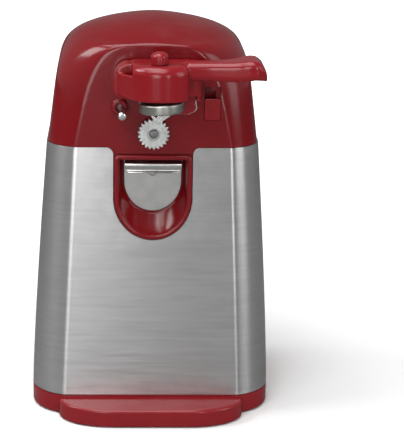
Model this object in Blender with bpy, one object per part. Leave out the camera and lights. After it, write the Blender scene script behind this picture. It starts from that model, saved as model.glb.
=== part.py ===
"""Electric can opener with a bottle opener in its front and a knife sharpener in its back.

Sizes are in millimetres and become metres as each mesh is made. X runs to the right, Y to the back and
Z up, and the origin is on the surface that the opener stands on, under the middle of its bounding box.
"""

import math

import bmesh
import bpy
from mathutils import Matrix, Vector

MM = 0.001
GAP = 0.3                 # clearance between two pieces that touch on the real object
RUNNING = 0.08            # what a bore is larger than its shaft, in radius
SMOOTH_ANGLE = math.radians(32)

# Overall form
HALF_WIDTH = 65.0         # at the base
BACK_Y = 63.74
SHIFT_Y = 4.8             # from the body's own middle to the middle of the bounding box
FEET_Z = 0.5              # what the rubber feet stand below the base
BASE_TOP_Z = 11.2
WRAP_BOTTOM_Z = 11.6
SEAM_Z = 149.5            # steel below, plastic head above
RIDGE_Z = 203.2           # top of the flat working face
TOP_Z = 212.5
SEAM_HALF, DOME_TAPER = 56.2, 0.127
WALL = 2.4
STEEL = 1.0
HEAD_INSET = 0.6          # the steel stands proud of the head by this much
PARTING_Y = 12.0 + SHIFT_Y
FRONT_BASE_Y = -41.6 + SHIFT_Y
FRONT_LEAN = 3.8 / (SEAM_Z - WRAP_BOTTOM_Z)
CREASE_BASE = 47.5
CREASE_SEAM = 41.0
CREASE_TURN = math.radians(18.7)   # how far round its ellipse the corner starts, at the crease

# Foot in front of the base
FOOT_FRONT_Y = -60.0 + SHIFT_Y
FOOT_HALF = 49.9
FOOT_TOP_Z = 10.2
FOOT_CORNER = (29.0, 18.0)

# Bottle opener
BEZEL_HALF, BEZEL_TOP, BEZEL_BOTTOM, BEZEL_BEND = 20.4, 145.4, 99.8, 122.5
MOUTH_HALF, MOUTH_TOP, MOUTH_BOTTOM, MOUTH_BEND = 16.0, 142.8, 112.4, 130.0
CUT_CORNER = 3.8          # the steel's two round corners beside the bezel
RECESS_DEPTH = 8.8
BEZEL_PROUD = 1.4

# Drive train: (x, z) of each axis, and the y span of each stage
DRIVE_AXIS = (0.0, 157.6)
SECOND_AXIS = (-18.0, 133.6)
FIRST_AXIS = (3.6, 124.6)
MOTOR_AXIS = (0.0, 106.05)
STAGE_3 = (-24.5 + SHIFT_Y, -19.5 + SHIFT_Y)
STAGE_2 = (-18.0 + SHIFT_Y, -14.0 + SHIFT_Y)
STAGE_1 = (-12.5 + SHIFT_Y, -8.5 + SHIFT_Y)
FRONT_PLATE_Y = (-26.7 + SHIFT_Y, -25.5 + SHIFT_Y)
REAR_PLATE_Y = (-7.0 + SHIFT_Y, -5.5 + SHIFT_Y)
MODULE_3, DRIVE_TEETH, PINION_3 = 1.25, 36, 12
MODULE_2, SECOND_TEETH, PINION_2 = 0.9, 40, 12
MODULE_1, FIRST_TEETH, PINION_1 = 0.7, 42, 12

# Cutting side
WHEEL_Y = (-42.2 + SHIFT_Y, -39.6 + SHIFT_Y)
WHEEL_RADIUS, WHEEL_TEETH = 8.3, 22
PIVOT = (-13.0, 188.0)    # the lever's hinge axis runs along Y through here
HUB_AXIS = (3.3, -51.9)
HUB_TILT = math.radians(3.4)   # the lever hangs a little low on its left when it is down
MAGNET_RADIUS, MAGNET_Z = 11.5, (173.0, 178.2)
HUB_Z = (179.4, 197.0)
LEVER_BACK_Y = -38.9 + SHIFT_Y
KNOB_TOP_Z = 203.4

RED = ("red_plastic", (0.30, 0.020, 0.028), 0.22, 0.0)
STEEL_BRUSHED = ("brushed_steel", (0.62, 0.62, 0.61), 0.35, 1.0)
STEEL_BRIGHT = ("bright_steel", (0.70, 0.70, 0.69), 0.18, 1.0)
LAMINATION = ("laminated_iron", (0.20, 0.20, 0.21), 0.55, 0.8)
COPPER = ("copper_winding", (0.50, 0.20, 0.09), 0.40, 0.9)
NYLON = ("white_nylon", (0.80, 0.78, 0.72), 0.45, 0.0)
BLACK = ("black_plastic", (0.02, 0.02, 0.02), 0.45, 0.0)
RUBBER = ("black_rubber", (0.03, 0.03, 0.03), 0.85, 0.0)
BRONZE = ("sintered_bronze", (0.45, 0.30, 0.14), 0.45, 0.9)
STONE = ("grey_stone", (0.42, 0.41, 0.40), 0.95, 0.0)
FERRITE = ("ferrite", (0.06, 0.06, 0.065), 0.60, 0.2)


# ---------------------------------------------------------------- scene and mesh helpers

def clear_scene():
    for obj in list(bpy.data.objects):
        bpy.data.objects.remove(obj, do_unlink=True)


def material(finish):
    name, colour, roughness, metallic = finish
    found = bpy.data.materials.get(name)
    if found:
        return found
    made = bpy.data.materials.new(name)
    made.use_nodes = True
    shader = made.node_tree.nodes["Principled BSDF"]
    shader.inputs["Base Color"].default_value = (*colour, 1.0)
    shader.inputs["Roughness"].default_value = roughness
    shader.inputs["Metallic"].default_value = metallic
    return made


def add(name, bm, finish):
    """Turns a bmesh in millimetres into a named object in metres."""
    bmesh.ops.remove_doubles(bm, verts=bm.verts, dist=1e-4)
    bmesh.ops.recalc_face_normals(bm, faces=bm.faces)
    bmesh.ops.scale(bm, vec=(MM, MM, MM), verts=bm.verts)
    mesh = bpy.data.meshes.new(name)
    bm.to_mesh(mesh)
    bm.free()
    obj = bpy.data.objects.new(name, mesh)
    bpy.context.scene.collection.objects.link(obj)
    mesh.materials.append(material(finish))
    mesh.shade_smooth()
    mesh.set_sharp_from_angle(angle=SMOOTH_ANGLE)
    return obj


def cutter(name, bm):
    obj = add(name, bm, BLACK)
    obj.hide_render = True
    obj.display_type = "WIRE"
    return obj


def combine(obj, operation, *others):
    """Adds one Boolean for each cutter, and hides what it uses."""
    for other in others:
        modifier = obj.modifiers.new(operation.lower() + "_" + other.name, "BOOLEAN")
        modifier.operation = operation
        modifier.solver = "EXACT"
        modifier.object = other
        other.hide_render = True
        other.display_type = "WIRE"
    return obj


def loft(rings, cap=True):
    """Skins rings of equally many points, and closes the two ends."""
    bm = bmesh.new()
    rows = [[bm.verts.new(point) for point in ring] for ring in rings]
    count = len(rows[0])
    for low, high in zip(rows, rows[1:]):
        for i in range(count):
            j = (i + 1) % count
            bm.faces.new((low[i], low[j], high[j], high[i]))
    if cap:
        bm.faces.new(list(reversed(rows[0])))
        bm.faces.new(rows[-1])
    return bm


def prism_y(outline, y_low, y_high):
    """An (x, z) outline stretched along Y."""
    return loft([[(x, y, z) for x, z in outline] for y in (y_low, y_high)])


def prism_z(outline, z_low, z_high):
    """An (x, y) outline stretched along Z."""
    return loft([[(x, y, z) for x, y in outline] for z in (z_low, z_high)])


def prism_x(outline, x_low, x_high):
    """A (y, z) outline stretched along X."""
    return loft([[(x, y, z) for y, z in outline] for x in (x_low, x_high)])


def box(low, high):
    (x0, y0, z0), (x1, y1, z1) = low, high
    return prism_z([(x0, y0), (x1, y0), (x1, y1), (x0, y1)], z0, z1)


def circle(centre, radius, count=20, start=0.0):
    return [(centre[0] + radius * math.cos(start + math.tau * i / count),
             centre[1] + radius * math.sin(start + math.tau * i / count)) for i in range(count)]


def turned_y(axis, profile, count=20):
    """A solid of revolution about an axis along Y; the profile is (y, radius) from end to end."""
    return loft([[(x, y, z) for x, z in circle(axis, radius, count)] for y, radius in profile])


def turned_z(axis, profile, count=20):
    """A solid of revolution about an axis along Z; the profile is (z, radius) from end to end."""
    return loft([[(x, y, z) for x, y in circle(axis, radius, count)] for z, radius in profile])


def turned_ring_y(axis, section, count=20):
    """A ring about an axis along Y; the section is a closed loop of (y, radius)."""
    bm = bmesh.new()
    loops = [[bm.verts.new((x, y, z)) for x, z in circle(axis, radius, count)] for y, radius in section]
    for a, b in zip(loops, loops[1:] + loops[:1]):
        for i in range(count):
            j = (i + 1) % count
            bm.faces.new((a[i], a[j], b[j], b[i]))
    return bm


def tube_y(axis, inner, outer, y_low, y_high, count=20):
    return turned_ring_y(axis, [(y_low, inner), (y_low, outer), (y_high, outer), (y_high, inner)], count)


def rounded_box_outline(x0, x1, z0, z1, radius, steps=3):
    """A rectangle with round corners, as one loop of points."""
    outline = []
    for cx, cz, turn in ((x1 - radius, z1 - radius, 0), (x0 + radius, z1 - radius, 90),
                         (x0 + radius, z0 + radius, 180), (x1 - radius, z0 + radius, 270)):
        for i in range(steps + 1):
            angle = math.radians(turn + 90 * i / steps)
            outline.append((cx + radius * math.cos(angle), cz + radius * math.sin(angle)))
    return outline


# ---------------------------------------------------------------- the body's form

def front_y(z):
    """The front plane leans back as it rises, up to the ridge of the working face."""
    return FRONT_BASE_Y + FRONT_LEAN * (min(z, RIDGE_Z) - WRAP_BOTTOM_Z)


def half_width(z):
    rise = max(0.0, (z - WRAP_BOTTOM_Z) / (SEAM_Z - WRAP_BOTTOM_Z))
    if z <= SEAM_Z:
        return HALF_WIDTH - (HALF_WIDTH - SEAM_HALF) * rise ** 1.25
    share = min(1.0, (z - SEAM_Z) / (TOP_Z - SEAM_Z))
    return (SEAM_HALF - DOME_TAPER * (z - SEAM_Z)) * (1.0 - share ** 9.8) ** (1.0 / 1.15)


def crease_x(z):
    """Half the width of the flat front: steel creases below, an arch above."""
    if z <= SEAM_Z:
        share = (z - WRAP_BOTTOM_Z) / (SEAM_Z - WRAP_BOTTOM_Z)
        return CREASE_BASE + (CREASE_SEAM - CREASE_BASE) * share
    share = min(1.0, (z - SEAM_Z) / (RIDGE_Z - SEAM_Z))
    return CREASE_SEAM * (1.0 - share ** 2.9) ** (1.0 / 2.9)


def blend(low, high, share):
    share = min(1.0, max(0.0, share))
    return low + (high - low) * share * share * (3.0 - 2.0 * share)


def body_ring(z, inset=0.0, form_z=None, corner=5, rear=5):
    """The outline of the body at a height, moved inwards by inset. form_z is where its shape is read."""
    form = z if form_z is None else form_z
    top_y = 10.0 + SHIFT_Y
    width = max(half_width(form) - inset, 3.0)
    crease = crease_x(form)
    face = front_y(form)
    if form > RIDGE_Z:
        share = (form - RIDGE_Z) / (TOP_Z - RIDGE_Z)
        face = top_y - (top_y - face) * max(0.0, 1.0 - share) ** 0.55
        crease = 0.0
    face = min(face + inset, top_y - 2.0)
    crease = min(max(crease, 0.04 * width), 0.9 * width)
    side = blend(-19.5 + SHIFT_Y, top_y, (form - 180.0) / (TOP_Z - 180.0))
    side = max(side, face + 0.4)
    dome = max(0.0, (form - SEAM_Z) / (TOP_Z - SEAM_Z))
    back = top_y + (BACK_Y - 4.4 * min(1.0, form / SEAM_Z) - top_y) * (1.0 - dome ** 2.6) ** (1.0 / 2.2)
    back = max(back - inset, top_y + 2.0)
    rear_x = min(blend(21.0, width, (form - 165.0) / 46.0), 0.98 * width)
    rear_y = min(blend(21.0, 60.0, (form - 165.0) / 46.0), back - top_y)
    right = [(crease, face)]
    span_x = (width - crease) / (1.0 - math.sin(CREASE_TURN))
    span_y = (side - face) / math.cos(CREASE_TURN)
    for i in range(1, corner + 1):
        angle = CREASE_TURN + (math.pi / 2 - CREASE_TURN) * i / corner
        right.append((width - span_x * (1.0 - math.sin(angle)), side - span_y * math.cos(angle)))
    for i in range(rear + 1):
        angle = math.pi / 2 * i / rear
        right.append((width - rear_x * (1.0 - math.cos(angle)), back - rear_y * (1.0 - math.sin(angle))))
    right[-1] = (max(right[-1][0], 0.6), back)
    left = [(-x, y) for x, y in reversed(right)]
    return [(x, y, z) for x, y in right + left]


BODY_HEIGHTS = [WRAP_BOTTOM_Z, 60.0, 105.0, SEAM_Z]
DOME_HEIGHTS = [SEAM_Z, 166.0, 178.0, 187.0, 193.0, 197.0, 200.0, 202.0, 202.8, RIDGE_Z,
                205.0, 207.0, 208.8, 210.3, 211.4, 212.1]
DOME_END = 212.4


def inner_form(z):
    """The height whose outline the inner wall copies at z, so that the dome is as thick as the sides."""
    if z <= SEAM_Z:
        return z
    return SEAM_Z + (z - SEAM_Z) * (TOP_Z - SEAM_Z) / (TOP_Z - WALL - SEAM_Z)


def shell_outer():
    """Outside of the plastic: under the steel it is inset, and it steps out at the seam."""
    under = STEEL + GAP
    rings = [body_ring(z, under) for z in BODY_HEIGHTS[:-1]]
    rings += [body_ring(SEAM_Z, under)]
    rings += [body_ring(SEAM_Z + 0.01 if z == SEAM_Z else z, HEAD_INSET, min(z, DOME_END)) for z in DOME_HEIGHTS]
    return loft(rings)


def rear_outer():
    """Outside of the rear half, which has no steel over it."""
    rings = [body_ring(z, 0.2) for z in BODY_HEIGHTS]
    rings += [body_ring(z, HEAD_INSET, min(z, DOME_END)) for z in DOME_HEIGHTS[1:]]
    return loft(rings)


def shell_inner(inset):
    heights = [WRAP_BOTTOM_Z - 2.0] + BODY_HEIGHTS[1:] + DOME_HEIGHTS[1:-2]
    return loft([body_ring(z, inset, min(inner_form(z), DOME_END)) for z in heights])


# ---------------------------------------------------------------- base

def foot_outline(inset=0.0):
    """Plan of the foot: a flat front with elliptical corners, running back under the body."""
    half = FOOT_HALF - inset
    front = FOOT_FRONT_Y + inset
    span_x, span_y = FOOT_CORNER[0] - inset, FOOT_CORNER[1] - inset
    right = []
    for i in range(7):
        angle = math.pi / 2 * i / 6
        right.append((half - span_x * (1.0 - math.sin(angle)), front + span_y * (1.0 - math.cos(angle))))
    right.append((half, -24.0 + SHIFT_Y))
    return right + [(-x, y) for x, y in reversed(right)]


def build_base():
    outline = [(x, y) for x, y, _ in body_ring(WRAP_BOTTOM_Z, 0.0)]
    tray = add("base_tray", loft([
        [(x * 0.985, SHIFT_Y + (y - SHIFT_Y) * 0.985, FEET_Z) for x, y in outline],
        [(x, y, FEET_Z + 1.4) for x, y in outline],
        [(x, y, BASE_TOP_Z) for x, y in outline]]), RED)
    foot = cutter("foot_form", loft([
        [(x, y, FEET_Z) for x, y in foot_outline(0.7)],
        [(x, y, FEET_Z + 1.0) for x, y in foot_outline()],
        [(x, y, FOOT_TOP_Z - 0.7) for x, y in foot_outline()],
        [(x, y, FOOT_TOP_Z) for x, y in foot_outline(0.7)]]))
    inside = cutter("tray_inside", prism_z([(x, y) for x, y, _ in body_ring(WRAP_BOTTOM_Z, WALL)],
                                           FEET_Z + WALL, BASE_TOP_Z + 5.0))
    under_foot = [(x, y) for x, y in foot_outline(WALL) if y < FRONT_BASE_Y - 0.5]
    under_foot = [(under_foot[0][0], FRONT_BASE_Y - 1.0)] + under_foot if under_foot[0][0] > 0 else under_foot
    hollow = cutter("foot_hollow", prism_z(foot_pocket(), FEET_Z - 5.0, FOOT_TOP_Z - WALL))
    combine(tray, "UNION", foot)
    combine(tray, "DIFFERENCE", inside, hollow)
    for i, (x, y) in enumerate(FOOT_PADS, 1):
        pocket = cutter(f"pad_pocket_{i}", turned_z((x, y), [(FEET_Z - 3.0, 6.5 + GAP),
                                                             (FEET_Z + 1.1 + GAP, 6.5 + GAP)], 16))
        combine(tray, "DIFFERENCE", pocket)
        add(f"foot_pad_{i}", turned_z((x, y), [(0.0, 5.9), (0.5, 6.5), (FEET_Z + 1.1, 6.5)], 16), RUBBER)
    for i, (x, y) in enumerate(BASE_SCREWS, 1):
        hole = cutter(f"screw_hole_{i}", turned_z((x, y), [(FEET_Z - 3.0, 1.9), (FEET_Z + 6.0, 1.9)], 12))
        sink = cutter(f"screw_sink_{i}", turned_z((x, y), [(FEET_Z - 3.0, 3.6), (FEET_Z + 1.0, 3.6)], 12))
        combine(tray, "DIFFERENCE", hole, sink)
        add(f"base_screw_{i}", turned_z((x, y), [(FEET_Z + 0.1, 2.7), (FEET_Z + 0.5, 3.1), (FEET_Z + 0.7, 3.1),
                                                 (FEET_Z + 0.71, 1.5), (FEET_Z + 11.0, 1.5)], 12), STEEL_BRIGHT)


def foot_pocket():
    """Plan of the hollow under the foot, from its front wall back to the body's own wall."""
    front = foot_outline(WALL)
    back = FRONT_BASE_Y - 0.2
    kept = [(x, y) for x, y in front if y < back]
    edge = FOOT_HALF - WALL
    return [(edge - 1.0, back)] + [p for p in reversed(kept) if p[0] > 0] + [p for p in reversed(kept) if p[0] <= 0] \
        + [(1.0 - edge, back)]


FOOT_PADS = [(-40.0, -24.0 + SHIFT_Y), (40.0, -24.0 + SHIFT_Y), (-40.0, 40.0 + SHIFT_Y), (40.0, 40.0 + SHIFT_Y)]
BASE_SCREWS = [(-24.0, -24.0 + SHIFT_Y), (24.0, -24.0 + SHIFT_Y), (-24.0, 42.0 + SHIFT_Y), (24.0, 42.0 + SHIFT_Y)]


# ---------------------------------------------------------------- housings and steel

def u_outline(half, top, bottom, bend, corner=2.6, steps=3, bowl=12, grow=0.0):
    """A U standing on its bowl: round top corners, straight sides and a half-ellipse below."""
    half, top, bottom, corner = half + grow, top + grow, bottom - grow, corner + grow
    outline = []
    for i in range(steps + 1):
        angle = math.pi / 2 * i / steps
        outline.append((half - corner + corner * math.cos(angle), top - corner + corner * math.sin(angle)))
    for i in range(steps + 1):
        angle = math.pi / 2 + math.pi / 2 * i / steps
        outline.append((-half + corner + corner * math.cos(angle), top - corner + corner * math.sin(angle)))
    for i in range(bowl + 1):
        angle = math.pi + math.pi * i / bowl
        outline.append((half * math.cos(angle), bend + (bend - bottom) * math.sin(angle)))
    return outline


def on_front(outline, depth):
    """Lays an (x, z) outline at a depth behind the front plane."""
    return [(x, front_y(z) + depth, z) for x, z in outline]


def build_housings():
    split = 200.0
    front = add("front_housing", shell_outer(), RED)
    rear = add("rear_housing", rear_outer(), RED)
    hollow = cutter("front_hollow", shell_inner(HEAD_INSET + WALL))
    rear_hollow = cutter("rear_hollow", shell_inner(HEAD_INSET + WALL + 0.01))
    behind = cutter("behind_parting", box((-split, PARTING_Y - GAP / 2, -split), (split, split, 2 * split)))
    before = cutter("before_parting", box((-split, -split, -split), (split, PARTING_Y + GAP / 2, 2 * split)))
    recess = cutter("recess_hole", loft([
        on_front(u_outline(BEZEL_HALF, BEZEL_TOP, BEZEL_BOTTOM, BEZEL_BEND, grow=-1.4), depth)
        for depth in (-9.0, 14.0)]))
    shaft_hole = cutter("shaft_hole", turned_y(DRIVE_AXIS, [(-60.0, 5.2), (-20.0, 5.2)], 20))
    pivot_hole = cutter("pivot_hole", turned_y(PIVOT, [(-60.0, 3.4), (-20.0, 3.4)], 20))
    guide_hole = cutter("guide_hole", turned_y(GUIDE, [(-60.0, 1.6), (-20.0, 1.6)], 12))
    pocket = cutter("latch_pocket", box((LATCH_X[0] - GAP, -60.0, LATCH_Z[0] - GAP),
                                        (LATCH_X[1] + GAP, front_y(172.0) + HEAD_INSET + 1.7, LATCH_Z[1] + 6.4)))
    slot = cutter("latch_slot", box((LATCH_MID - 1.8, -60.0, LATCH_Z[0] + 3.0),
                                    (LATCH_MID + 1.8, -15.0, LATCH_Z[1] + 4.0)))
    saddle = cutter("seam_saddle", loft([on_front(saddle_outline(), depth) for depth in (HEAD_INSET + 0.05, 2.8)]))
    combine(front, "DIFFERENCE", hollow, behind)
    combine(front, "UNION", saddle)
    combine(front, "DIFFERENCE", recess, shaft_hole, pivot_hole, guide_hole, pocket, slot)
    combine(rear, "DIFFERENCE", rear_hollow, before)
    for i, z in enumerate(VENT_HEIGHTS, 1):
        vent = cutter(f"vent_{i}", box((-20.0, 30.0, z), (20.0, 90.0, z + 2.4)))
        combine(rear, "DIFFERENCE", vent)
    window = cutter("sharpener_window", prism_y(rounded_box_outline(-17.0, 17.0, 90.0, 128.0, 3.0), 40.0, 90.0))
    inlet = cutter("cord_hole", turned_y(CORD_AXIS, [(40.0, 4.6), (90.0, 4.6)], 16))
    combine(rear, "DIFFERENCE", window, inlet)


def build_steel_wrap():
    heights = [WRAP_BOTTOM_Z, 60.0, 105.0, SEAM_Z - GAP]
    wrap = add("steel_wrap", loft([body_ring(z) for z in heights]), STEEL_BRUSHED)
    inside = cutter("wrap_inside", loft([body_ring(z, STEEL, h) for z, h in
                                         ((WRAP_BOTTOM_Z - 5.0, WRAP_BOTTOM_Z), (60.0, 60.0), (105.0, 105.0),
                                          (SEAM_Z + 5.0, SEAM_Z + 0.0))]))
    behind = cutter("wrap_end", box((-200.0, PARTING_Y - GAP, -50.0), (200.0, 200.0, 300.0)))
    opening = cutter("bezel_opening", prism_y(steel_opening(), -80.0, -10.0))
    combine(wrap, "DIFFERENCE", inside, behind, opening)


def saddle_outline():
    """What fills the steel's opening above the bezel, so that the head runs down to it without a step."""
    centre, radius = (BEZEL_HALF + 0.5 + CUT_CORNER, SEAM_Z - GAP - CUT_CORNER), CUT_CORNER + 0.35
    right = [(centre[0] - radius * math.sin(math.radians(a)), centre[1] + radius * math.cos(math.radians(a)))
             for a in (80, 62, 44, 26, 8)] + [(centre[0], SEAM_Z + 0.4)]
    return right + [(-x, z) for x, z in reversed(right)]


def steel_opening():
    """The opening for the bezel, which widens through two round corners into the top edge."""
    round_r = CUT_CORNER
    half = BEZEL_HALF + 0.5
    u_shape = u_outline(BEZEL_HALF, BEZEL_TOP, BEZEL_BOTTOM, BEZEL_BEND, grow=0.5, bowl=16)
    bowl = u_shape[8:]
    top = SEAM_Z - GAP
    left = [(-half - round_r + round_r * math.sin(math.pi / 2 * i / 4), top - round_r + round_r * math.cos(
        math.pi / 2 * i / 4)) for i in range(5)]
    right = [(-x, z) for x, z in reversed(left)]
    return [(-half - round_r, top + 9.0)] + left + bowl + right + [(half + round_r, top + 9.0)]


def build_bottle_opener():
    rim = dict(half=BEZEL_HALF, top=BEZEL_TOP, bottom=BEZEL_BOTTOM, bend=BEZEL_BEND)
    mouth = dict(half=MOUTH_HALF, top=MOUTH_TOP, bottom=MOUTH_BOTTOM, bend=MOUTH_BEND, corner=1.2)
    add("bottle_opener_bezel", loft([
        on_front(u_outline(**mouth, grow=1.3), RECESS_DEPTH + 1.5),
        on_front(u_outline(**rim, grow=-1.9), STEEL + GAP + WALL + 0.4),
        on_front(u_outline(**rim, grow=-1.9), 0.2),
        on_front(u_outline(**rim), 0.2),
        on_front(u_outline(**rim), -BEZEL_PROUD + 0.6),
        on_front(u_outline(**rim, grow=-0.6), -BEZEL_PROUD),
        on_front(u_outline(**rim, grow=-1.8), -BEZEL_PROUD),
        on_front(u_outline(**rim, grow=-2.5), -BEZEL_PROUD + 0.7),
        on_front(u_outline(**mouth), RECESS_DEPTH)]), RED)
    plate = u_outline(MOUTH_HALF - 0.9, MOUTH_TOP - 0.9, MOUTH_BOTTOM + 0.9, MOUTH_BEND, corner=1.0)
    add("opener_plate", loft([on_front(plate, RECESS_DEPTH - GAP), on_front(plate, RECESS_DEPTH - 1.5)]),
        STEEL_BRUSHED)
    face = front_y(139.0)
    hook = [(0.0 + RECESS_DEPTH - 1.9, 141.4), (0.6, 141.4), (-0.9, 140.6), (-1.5, 139.0), (-1.3, 137.3),
            (-0.3, 136.1), (0.9, 136.1), (-0.1, 137.5), (-0.2, 139.0), (0.4, 139.9), (RECESS_DEPTH - 1.9, 140.1)]
    add("opener_lip", prism_x([(face + depth, z) for depth, z in hook], -14.8, 14.8), STEEL_BRIGHT)
    plate_y = front_y(134.6) + RECESS_DEPTH - 1.5
    add("opener_screw", turned_y((0.0, 134.6), [(plate_y - 1.9, 1.5), (plate_y - 1.5, 2.2),
                                                (plate_y - GAP, 2.2)], 16), STEEL_BRIGHT)


VENT_HEIGHTS = [30.0 + 6.0 * i for i in range(7)]
CORD_AXIS = (0.0, 20.0)
GUIDE = (-16.4, 168.5)
GUIDE_BOSS = (-17.8, 171.0)
LATCH_X, LATCH_Z = (26.2, 34.6), (164.0, 175.2)
LATCH_MID = sum(LATCH_X) / 2


def build_front_details():
    face = front_y(GUIDE[1]) + HEAD_INSET
    boss = add("guide_boss", turned_ring_y(GUIDE_BOSS, [(face - GAP, 1.6), (face - GAP, 4.6), (face - 2.4, 4.4),
                                                        (face - 3.2, 3.7), (face - 3.2, 2.4), (face - 2.4, 1.6)], 20),
               RED)
    combine(boss, "DIFFERENCE", cutter("guide_clearance", turned_y(GUIDE, [(-80.0, 2.5), (0.0, 2.5)], 16)))
    add("guide_pin", turned_y(GUIDE, [(face + WALL + 1.0, 1.3), (face - 0.6, 1.3), (face - 0.61, 2.2),
                                      (face - 12.2, 2.2), (face - 12.8, 1.6)], 16), STEEL_BRIGHT)
    pocket_floor = front_y(172.0) + HEAD_INSET + 1.7
    latch = add("release_latch", box((LATCH_X[0], front_y(172.0) + HEAD_INSET - 0.9, LATCH_Z[0]),
                                     (LATCH_X[1], pocket_floor - GAP, LATCH_Z[1])), RED)
    stem = cutter("latch_stem", box((LATCH_MID - 1.5, pocket_floor - 1.0, LATCH_Z[0] + 4.0),
                                    (LATCH_MID + 1.5, pocket_floor + 5.0, LATCH_Z[0] + 9.0)))
    combine(latch, "UNION", stem)
    add("latch_keeper", box((LATCH_MID - 3.6, pocket_floor + 5.0 + GAP, LATCH_Z[0] - 1.0),
                            (LATCH_MID + 3.6, pocket_floor + 6.5, LATCH_Z[1] + 6.0)), STEEL_BRIGHT)
    inner_face = front_y(DRIVE_AXIS[1]) + HEAD_INSET
    add("drive_bush", tube_y(DRIVE_AXIS, 3.0 + RUNNING, 4.9, inner_face - 0.4, FRONT_PLATE_Y[0] - GAP), BRONZE)
    pivot_face = front_y(PIVOT[1]) + HEAD_INSET
    add("pivot_bush", tube_y(PIVOT, 2.0 + RUNNING, 3.1, pivot_face - 0.3, pivot_face + WALL + 2.0, 16), BRONZE)


# ---------------------------------------------------------------- gears and motor

def gear_outline(axis, module, teeth, phase):
    """Straight-flanked teeth with some backlash. phase is where the first tooth's middle points."""
    pitch = module * teeth / 2.0
    tip, root = pitch + 0.85 * module, pitch - 1.15 * module
    step = math.tau / teeth
    outline = []
    for i in range(teeth):
        middle = phase + i * step
        for radius, share in ((root, -0.30), (tip, -0.115), (tip, 0.115), (root, 0.30)):
            angle = middle + share * step
            outline.append((axis[0] + radius * math.cos(angle), axis[1] + radius * math.sin(angle)))
    return outline


def direction(start, end):
    return math.atan2(end[1] - start[1], end[0] - start[0])


def gap_towards(start, end, teeth):
    """A phase that puts a gap between teeth on the line to the other axis."""
    return direction(start, end) + math.pi / teeth


def compound_gear(name, axis, large, small, bore):
    """A moulded pair of gears in one piece; large and small are (module, teeth, phase, y span)."""
    gear = add(name, prism_y(gear_outline(axis, *large[:3]), *large[3]), NYLON)
    pinion = cutter(name + "_pinion", prism_y(gear_outline(axis, *small[:3]), *small[3]))
    hole = cutter(name + "_bore", turned_y(axis, [(-60.0, bore), (60.0, bore)], 12))
    combine(gear, "UNION", pinion)
    combine(gear, "DIFFERENCE", hole)
    return gear


def build_gears():
    drive = add("drive_gear", prism_y(gear_outline(DRIVE_AXIS, MODULE_3, DRIVE_TEETH,
                                                   direction(DRIVE_AXIS, SECOND_AXIS)), *STAGE_3), NYLON)
    combine(drive, "DIFFERENCE", cutter("drive_gear_bore", prism_y(circle(DRIVE_AXIS, 3.0 + RUNNING, 16), -60.0, 60.0)))
    compound_gear("second_reduction_gear", SECOND_AXIS,
                  (MODULE_2, SECOND_TEETH, direction(SECOND_AXIS, FIRST_AXIS), STAGE_2),
                  (MODULE_3, PINION_3, gap_towards(SECOND_AXIS, DRIVE_AXIS, PINION_3),
                   (STAGE_3[0], STAGE_2[0] + 1.0)), 1.5 + 0.1)
    compound_gear("first_reduction_gear", FIRST_AXIS,
                  (MODULE_1, FIRST_TEETH, direction(FIRST_AXIS, MOTOR_AXIS), STAGE_1),
                  (MODULE_2, PINION_2, gap_towards(FIRST_AXIS, SECOND_AXIS, PINION_2),
                   (STAGE_2[0], STAGE_1[0] + 1.0)), 1.5 + 0.1)
    pinion = add("motor_pinion", prism_y(gear_outline(MOTOR_AXIS, MODULE_1, PINION_1,
                                                      gap_towards(MOTOR_AXIS, FIRST_AXIS, PINION_1)),
                                         STAGE_1[0] - 0.5, STAGE_1[1] + 0.5), STEEL_BRIGHT)
    combine(pinion, "DIFFERENCE", cutter("pinion_bore", turned_y(MOTOR_AXIS, [(-60.0, 1.5 + RUNNING), (60.0, 1.5 + RUNNING)], 12)))


SPACERS = [(-38.5, 145.0), (30.0, 146.0)]


def build_gearbox():
    upper = rounded_box_outline(-43.0, 36.0, 113.0, 182.0, 6.0)
    front = add("gearbox_front_plate", prism_y(upper, *FRONT_PLATE_Y), STEEL_BRIGHT)
    rear = add("gearbox_rear_plate", prism_y(rounded_box_outline(-43.0, 36.0, 88.0, 178.0, 6.0), *REAR_PLATE_Y),
               STEEL_BRIGHT)
    shaft = cutter("plate_shaft_hole", turned_y(DRIVE_AXIS, [(-60.0, 3.3), (60.0, 3.3)], 16))
    motor = cutter("plate_motor_hole", turned_y(MOTOR_AXIS, [(-60.0, 2.0 + RUNNING), (60.0, 2.0 + RUNNING)], 16))
    combine(front, "DIFFERENCE", shaft)
    combine(rear, "DIFFERENCE", shaft, motor)
    for name, axis in (("first_gear_pin", FIRST_AXIS), ("second_gear_pin", SECOND_AXIS)):
        add(name, turned_y(axis, [(FRONT_PLATE_Y[1] + GAP, 1.5), (REAR_PLATE_Y[0] - GAP, 1.5)], 12), STEEL_BRIGHT)
    for i, axis in enumerate(SPACERS, 1):
        add(f"plate_spacer_{i}", turned_y(axis, [(FRONT_PLATE_Y[1] + GAP, 3.0), (REAR_PLATE_Y[0] - GAP, 3.0)], 12),
            STEEL_BRIGHT)


STATOR_Y = (-2.0 + SHIFT_Y, 18.0 + SHIFT_Y)


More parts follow.
